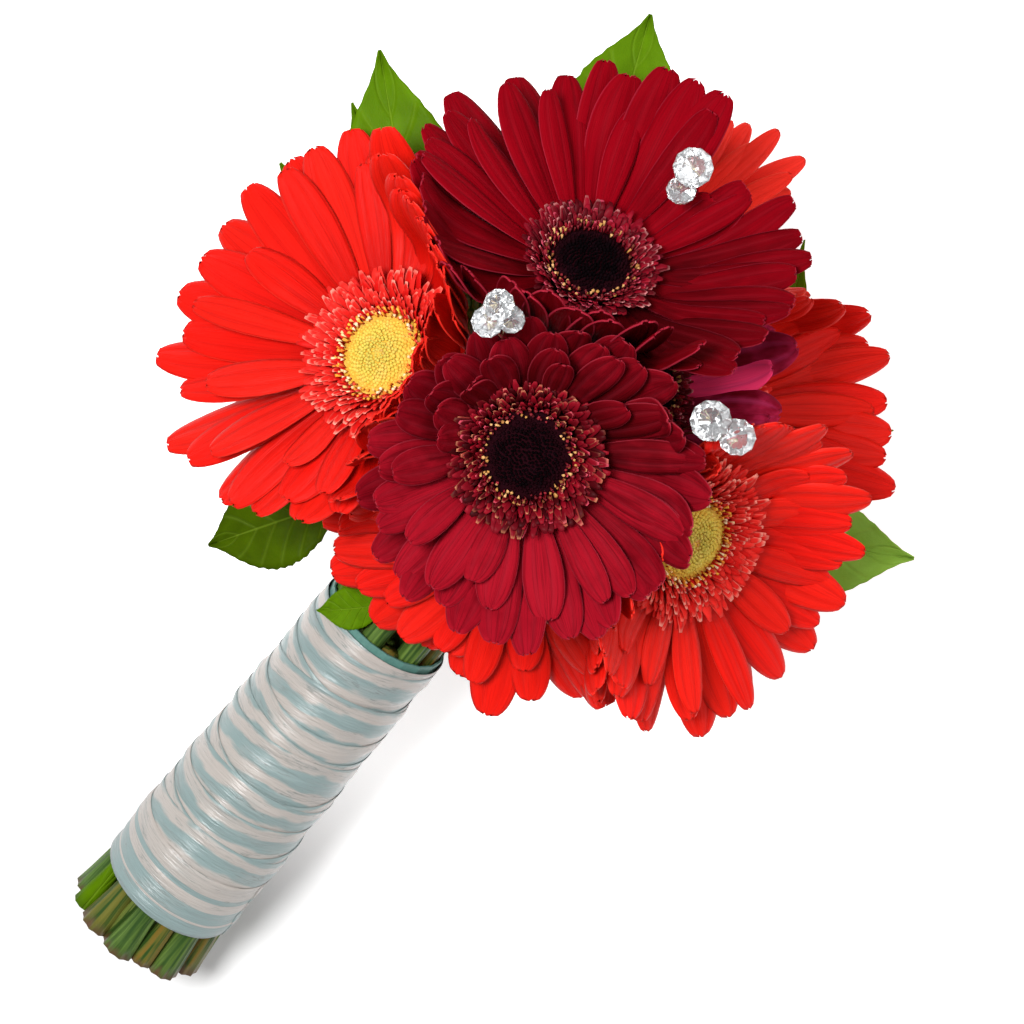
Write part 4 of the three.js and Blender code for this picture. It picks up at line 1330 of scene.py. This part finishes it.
# The wound ribbon: one strip that starts at the top and winds down. Each turn lies on the lower half of
# the one before, a little askew.
def ribbonPlaces(places):
    shape = ribbonShape
    x, t = places[:, 0], places[:, 1] + 0.5
    theta = t * shape["turns"] * 2 * math.pi
    full = shape["turns"] * 2 * math.pi
    low, high = shape["from"] + shape["width"] / 2, shape["to"] - shape["width"] / 2
    settled = np.clip((theta - 5.2) / (full - 11.0), 0, 1)
    centre = high + (low - high) * settled
    free = smoothStep(4.5, 9.5, theta) * (1 - smoothStep(full - 11, full - 6.5, theta))
    centre = centre + free * (3.1 * np.sin(0.61 * theta + 1.0) + 2.2 * np.sin(1.37 * theta + 2.2))
    u = centre + x * shape["width"]
    # folds that all turns share, so that no turn cuts into the next one
    bulges = (0.26 * np.sin(u * 0.21 + theta + 1.2)
              + 0.16 * np.sin(u * 0.46 + 2 * theta + 0.9 * np.sin(u * 0.13))
              + 0.10 * np.sin(u * 0.93 - theta + 0.4) + 0.12 * np.sin(u * 0.52 + 3 * theta + 2.0)
              + 0.06 * np.sin(u * 1.4 + 2 * theta + 1.5 * np.sin(theta)))
    share = (u - shape["from"]) / (shape["to"] - shape["from"])
    base = shape["inner"] * (1 + (shape["flare"] - 1) * (1 - share))
    quiet = smoothStep(0, 0.05, share) * (1 - smoothStep(0.97, 1.0, share) * 0.6)
    radius = base + shape["lift"] * (0.5 + x) + bulges * quiet + shape["grow"] * theta / (2 * math.pi)
    lean = math.radians(bundle["lean"])
    v, w = radius * np.sin(theta + 2.4), radius * np.cos(theta + 2.4)
    along = u * math.cos(lean) - w * math.sin(lean)
    return np.stack([along, v, u * math.sin(lean) + w * math.cos(lean)], axis=1) + bundle["start"]


def makeRibbon():
    strip = startGrid("strip", ribbonShape["across"], int(ribbonShape["turns"] * ribbonShape["around"]))
    bpy.ops.mesh.flip_normals()
    closePiece(strip)
    wound = copyOf(strip, ribbonPlaces(placesOf(strip)), 0.5)
    bpy.data.objects.remove(strip)
    return joined("satinRibbon", [walled([wound], ribbonShape["thick"])])


# ---- crystals ----

# A round brilliant of unit radius. From the girdle up and down: steps of inset, rise and turn in degrees.
gemShape = [(1, [(0.2, 0.2, 18), (0.22, 0.1, 18)]), (-1, [(0.45, -0.42, 18), (0.48, -0.36, 0)])]


def gemBlank():
    gem = startPiece("gem", bpy.ops.mesh.primitive_cylinder_add, vertices=10, radius=1.04, depth=0.14)
    bpy.ops.mesh.select_mode(type="FACE")
    for facing, steps in gemShape:
        mesh = bmesh.from_edit_mesh(gem.data)
        for face in mesh.faces:
            face.select_set(face.normal.z * facing > 0.9)
        bmesh.update_edit_mesh(gem.data)
        for inset, rise, turn in steps:
            bpy.ops.mesh.inset(thickness=inset)
            bpy.ops.transform.translate(value=(0, 0, rise))
            if turn:
                bpy.ops.transform.rotate(value=math.radians(turn), orient_axis="Z",
                                         center_override=(0, 0, 0))
    bpy.ops.mesh.select_all(action="SELECT")
    bpy.ops.mesh.quads_convert_to_tris()
    bpy.ops.mesh.select_mode(type="VERT")
    return closePiece(gem, closed=True)


# ---- build ----

stemMaterial = stemFinish()
leafMaterial = leafFinish()
calyxMaterial = grainFinish("calyx green", 500.0, (0.05, 0.11, 0.015), (0.13, 0.22, 0.045), 0.0006,
                            Roughness=0.5, Specular_IOR_Level=0.2)
tapeMaterial = grainFinish("binding tape", 900.0, (0.045, 0.13, 0.11), (0.09, 0.21, 0.18), 0.0004,
                           Roughness=0.55)
wireMaterial = grainFinish("golden wire", 1200.0, (0.62, 0.44, 0.20), (0.80, 0.62, 0.34), Roughness=0.28,
                           Metallic=1.0)
crystalMaterial = grainFinish("clear crystal", 260.0, (0.93, 0.94, 0.95), (0.84, 0.87, 0.89), Roughness=0.02,
                              IOR=1.62, Transmission_Weight=0.92, Specular_IOR_Level=0.6)
petalMaterials = {colour: petalFinish(f"{colour} petals", look) for colour, look in petalLooks.items()}
floretMaterials = {colour: floretFinish(f"{colour} florets", look) for colour, look in floretLooks.items()}
budMaterials = {kind: budFinish(f"{kind} buds", look) for kind, look in budLooks.items()}
stamenMaterials = {kind: stamenFinish(f"{kind} stamens", look) for kind, look in stamenLooks.items()}
petalSlots = {"red": "red_petals", "orange": "orange_red_petals", "burgundy": "burgundy_petals",
              "crimson": "crimson_petals", "magenta": "magenta_petals"}


def makeBloom(bloom):
    dice = random.Random("bloom " + bloom["name"])
    name, colour, dark = bloom["name"], bloom["colour"], bloom["kind"] != "open"
    slot, centre = petalSlots[colour], "dark_centre" if dark else "yellow_centre"
    budMaterial = budMaterials["dark" if dark else "yellow"]
    stamenMaterial = stamenMaterials["dark" if dark else "red"]
    pieces = [
        ("Petals", petalsOf, petalMaterials[colour], slot, "rays"),
        ("Florets", floretsOf, floretMaterials[colour], slot),
        ("Disc", discOf, budMaterial, centre, "disc"),
        ("Stamens", stamensOf, stamenMaterial, centre),
        ("Stem", stemOf, stemMaterial, "stem", "stem"),
        ("Calyx", calyxOf, calyxMaterial, "stem"),
    ]
    for kind, maker, material, slot, *nodes in pieces:
        piece = joined(name + kind, maker(bloom, dice))
        finish(piece, material, slot, *[f"bloom_{name}_{node}" for node in nodes])


for bloom in blooms:
    bloom["cell"] = wallsOf(bloom)
    makeBloom(bloom)
print("blooms are in place")

# stalks without a bloom, which fill the bunch between the others: radius, angle and thickness
fillStalks = [(14.8, 335.2, 3.0), (9.4, 338, 2.4), (14.6, 16, 1.6)]
# how much thicker they are at the cut end
stalkSpread = 1.5


def makeStalks():
    dice = random.Random("stalks")
    parts = []
    for radius, angle, thick in fillStalks:
        v, w = radius * math.sin(math.radians(angle)), radius * math.cos(math.radians(angle))
        cut = inBundle(dice.uniform(0, 3), v * bundle["flare"], w * bundle["flare"])
        tie = inBundle(bundle["tie"], v, w)
        line = cut + (tie - cut) * np.linspace(0, 1, stemShape["steps"] + 1)[:, None]
        along = np.linspace(0, bundle["tie"], len(line))
        radii = np.interp(along, [0, stemShape["firm"]], [thick * stalkSpread, thick])
        parts.append(copyOf(stemRod, layRod(stemRod, line, radii), dice.random()))
    finish(joined("fillStalks", parts), stemMaterial, "stem")


makeStalks()

for sprig in sprigs:
    dice = random.Random("sprig " + sprig["name"])
    piece = joined(f"{sprig['name']}Sprig", sprigOf(sprig, dice))
    finish(piece, leafMaterial, "leaf", f"sprig_{sprig['name']}")
print("sprigs are in place")

ribbon = finish(makeRibbon(), ribbonFinish(), "ribbon", "ribbon")
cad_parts["binding_tape"].data.materials.clear()
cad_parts["binding_tape"].data.materials.append(tapeMaterial)
print("ribbon is wound")

# A crystal's point below its middle, by its diameter, the gap to its wire, the wire's bow, and the tilt.
pickShape = {"point": 0.42, "gap": 0.1, "bow": 0.8, "tilt": 0.28}
gem = gemBlank()
for group in picks:
    dice = random.Random("pick " + group["name"])
    foot = np.array(group["foot"], float)
    branches = []
    for i, (x, y, z, diameter) in enumerate(group["gems"]):
        centre = np.array([x, y, z], float)
        head = centre - zUp * (pickShape["point"] * diameter) - zUp * pickShape["gap"]
        bowed = (foot + head) / 2
        bowed[0] = foot[0] + pickShape["bow"] * (head[0] - foot[0])
        line = bezier([foot, bowed, head], np.linspace(0, 1, wireShape["steps"] + 1))
        branches.append(copyOf(wireRod, layRod(wireRod, line, [wireShape["radius"]] * len(line)), 0.5))
        tilt = turnTo((wobble(dice, pickShape["tilt"]), wobble(dice, pickShape["tilt"]), 1))
        crystal = copyOf(gem, placesOf(gem) * (diameter / 2) @ tilt.T + centre, 0.5)
        crystal.name = f"{group['name']}Crystal{i + 1}"
        finish(crystal, crystalMaterial, "crystal", f"pick_{group['name']}_crystal_{i + 1}", smooth=False)
    finish(joined(f"{group['name']}Wire", branches), wireMaterial, "wire", f"pick_{group['name']}_wire")
print("crystals are in place")

spent = [floret, stamen, bud, core, bract, cup, stemRod, twigRod, wireRod, leafPattern, gem]
for blank in [*sum(blanks.values(), []), *spent]:
    bpy.data.objects.remove(blank)

# ---- floor and light ----

# "lit" is where the glow below the head starts, and where it is full
floorLook = {
    "size": 6,
    "height": -0.0003,
    "lit": (-0.135, -0.06),
    "tone": (0.73, 0.73, 0.73),
    "litTone": (0.88, 0.88, 0.88),
    "glow": (0.55, 0.55, 0.55),
}

lightSettings = {
    "key": {"power": 42.0, "size": 0.55, "at": (-0.16, 0.50, 1.7)},
    "fill": {"power": 19.0, "size": 2.2, "at": (0.75, -0.80, 1.35)},
    "sky": 0.28,
}


# The floor glows more under the blooms than under the handle, so that only the handle's shadow is left in
# the
# picture: the glow is painted light that washes out the blooms' shadow. Under the handle the floor is
# painted
# greyer, which deepens the shadow there: painted shade.
def makeFloor():
    deselectAll()
    bpy.ops.mesh.primitive_plane_add(size=floorLook["size"], location=(0, 0, floorLook["height"]))
    floor = bpy.context.active_object
    floor.name = "floor"
    made = Finish("pale floor", Roughness=0.85, Specular_IOR_Level=0.1, Emission_Strength=1.0)
    place = made.objectPlace()
    grain = made.noise(place, 40.0)
    split = made.add("ShaderNodeSeparateXYZ", {}, {0: place})
    under = split.within(*floorLook["lit"])
    made.feed(Base_Color=made.mix(under + (grain - 0.5) * 0.02, floorLook["tone"], floorLook["litTone"]))
    made.feed(Emission_Color=made.mix(under, (0.0, 0.0, 0.0), floorLook["glow"]))
    floor.data.materials.append(made.material)


def makeLight(name, settings):
    data = bpy.data.lights.new(name, "AREA")
    data.energy = settings["power"]
    data.size = settings["size"]
    light = bpy.data.objects.new(name, data)
    light.location = settings["at"]
    away = unit(settings["at"])
    light.rotation_euler = (math.acos(away[2]), 0, math.atan2(away[1], away[0]) + math.pi / 2)
    bpy.context.scene.collection.objects.link(light)


makeFloor()
for name in ("key", "fill"):
    makeLight(name, lightSettings[name])
world = bpy.data.worlds.new("sky")
world.use_nodes = True
world.node_tree.nodes["Background"].inputs["Color"].default_value = (1, 1, 1, 1)
world.node_tree.nodes["Background"].inputs["Strength"].default_value = lightSettings["sky"]
bpy.context.scene.world = world
print("floor and lights are set")
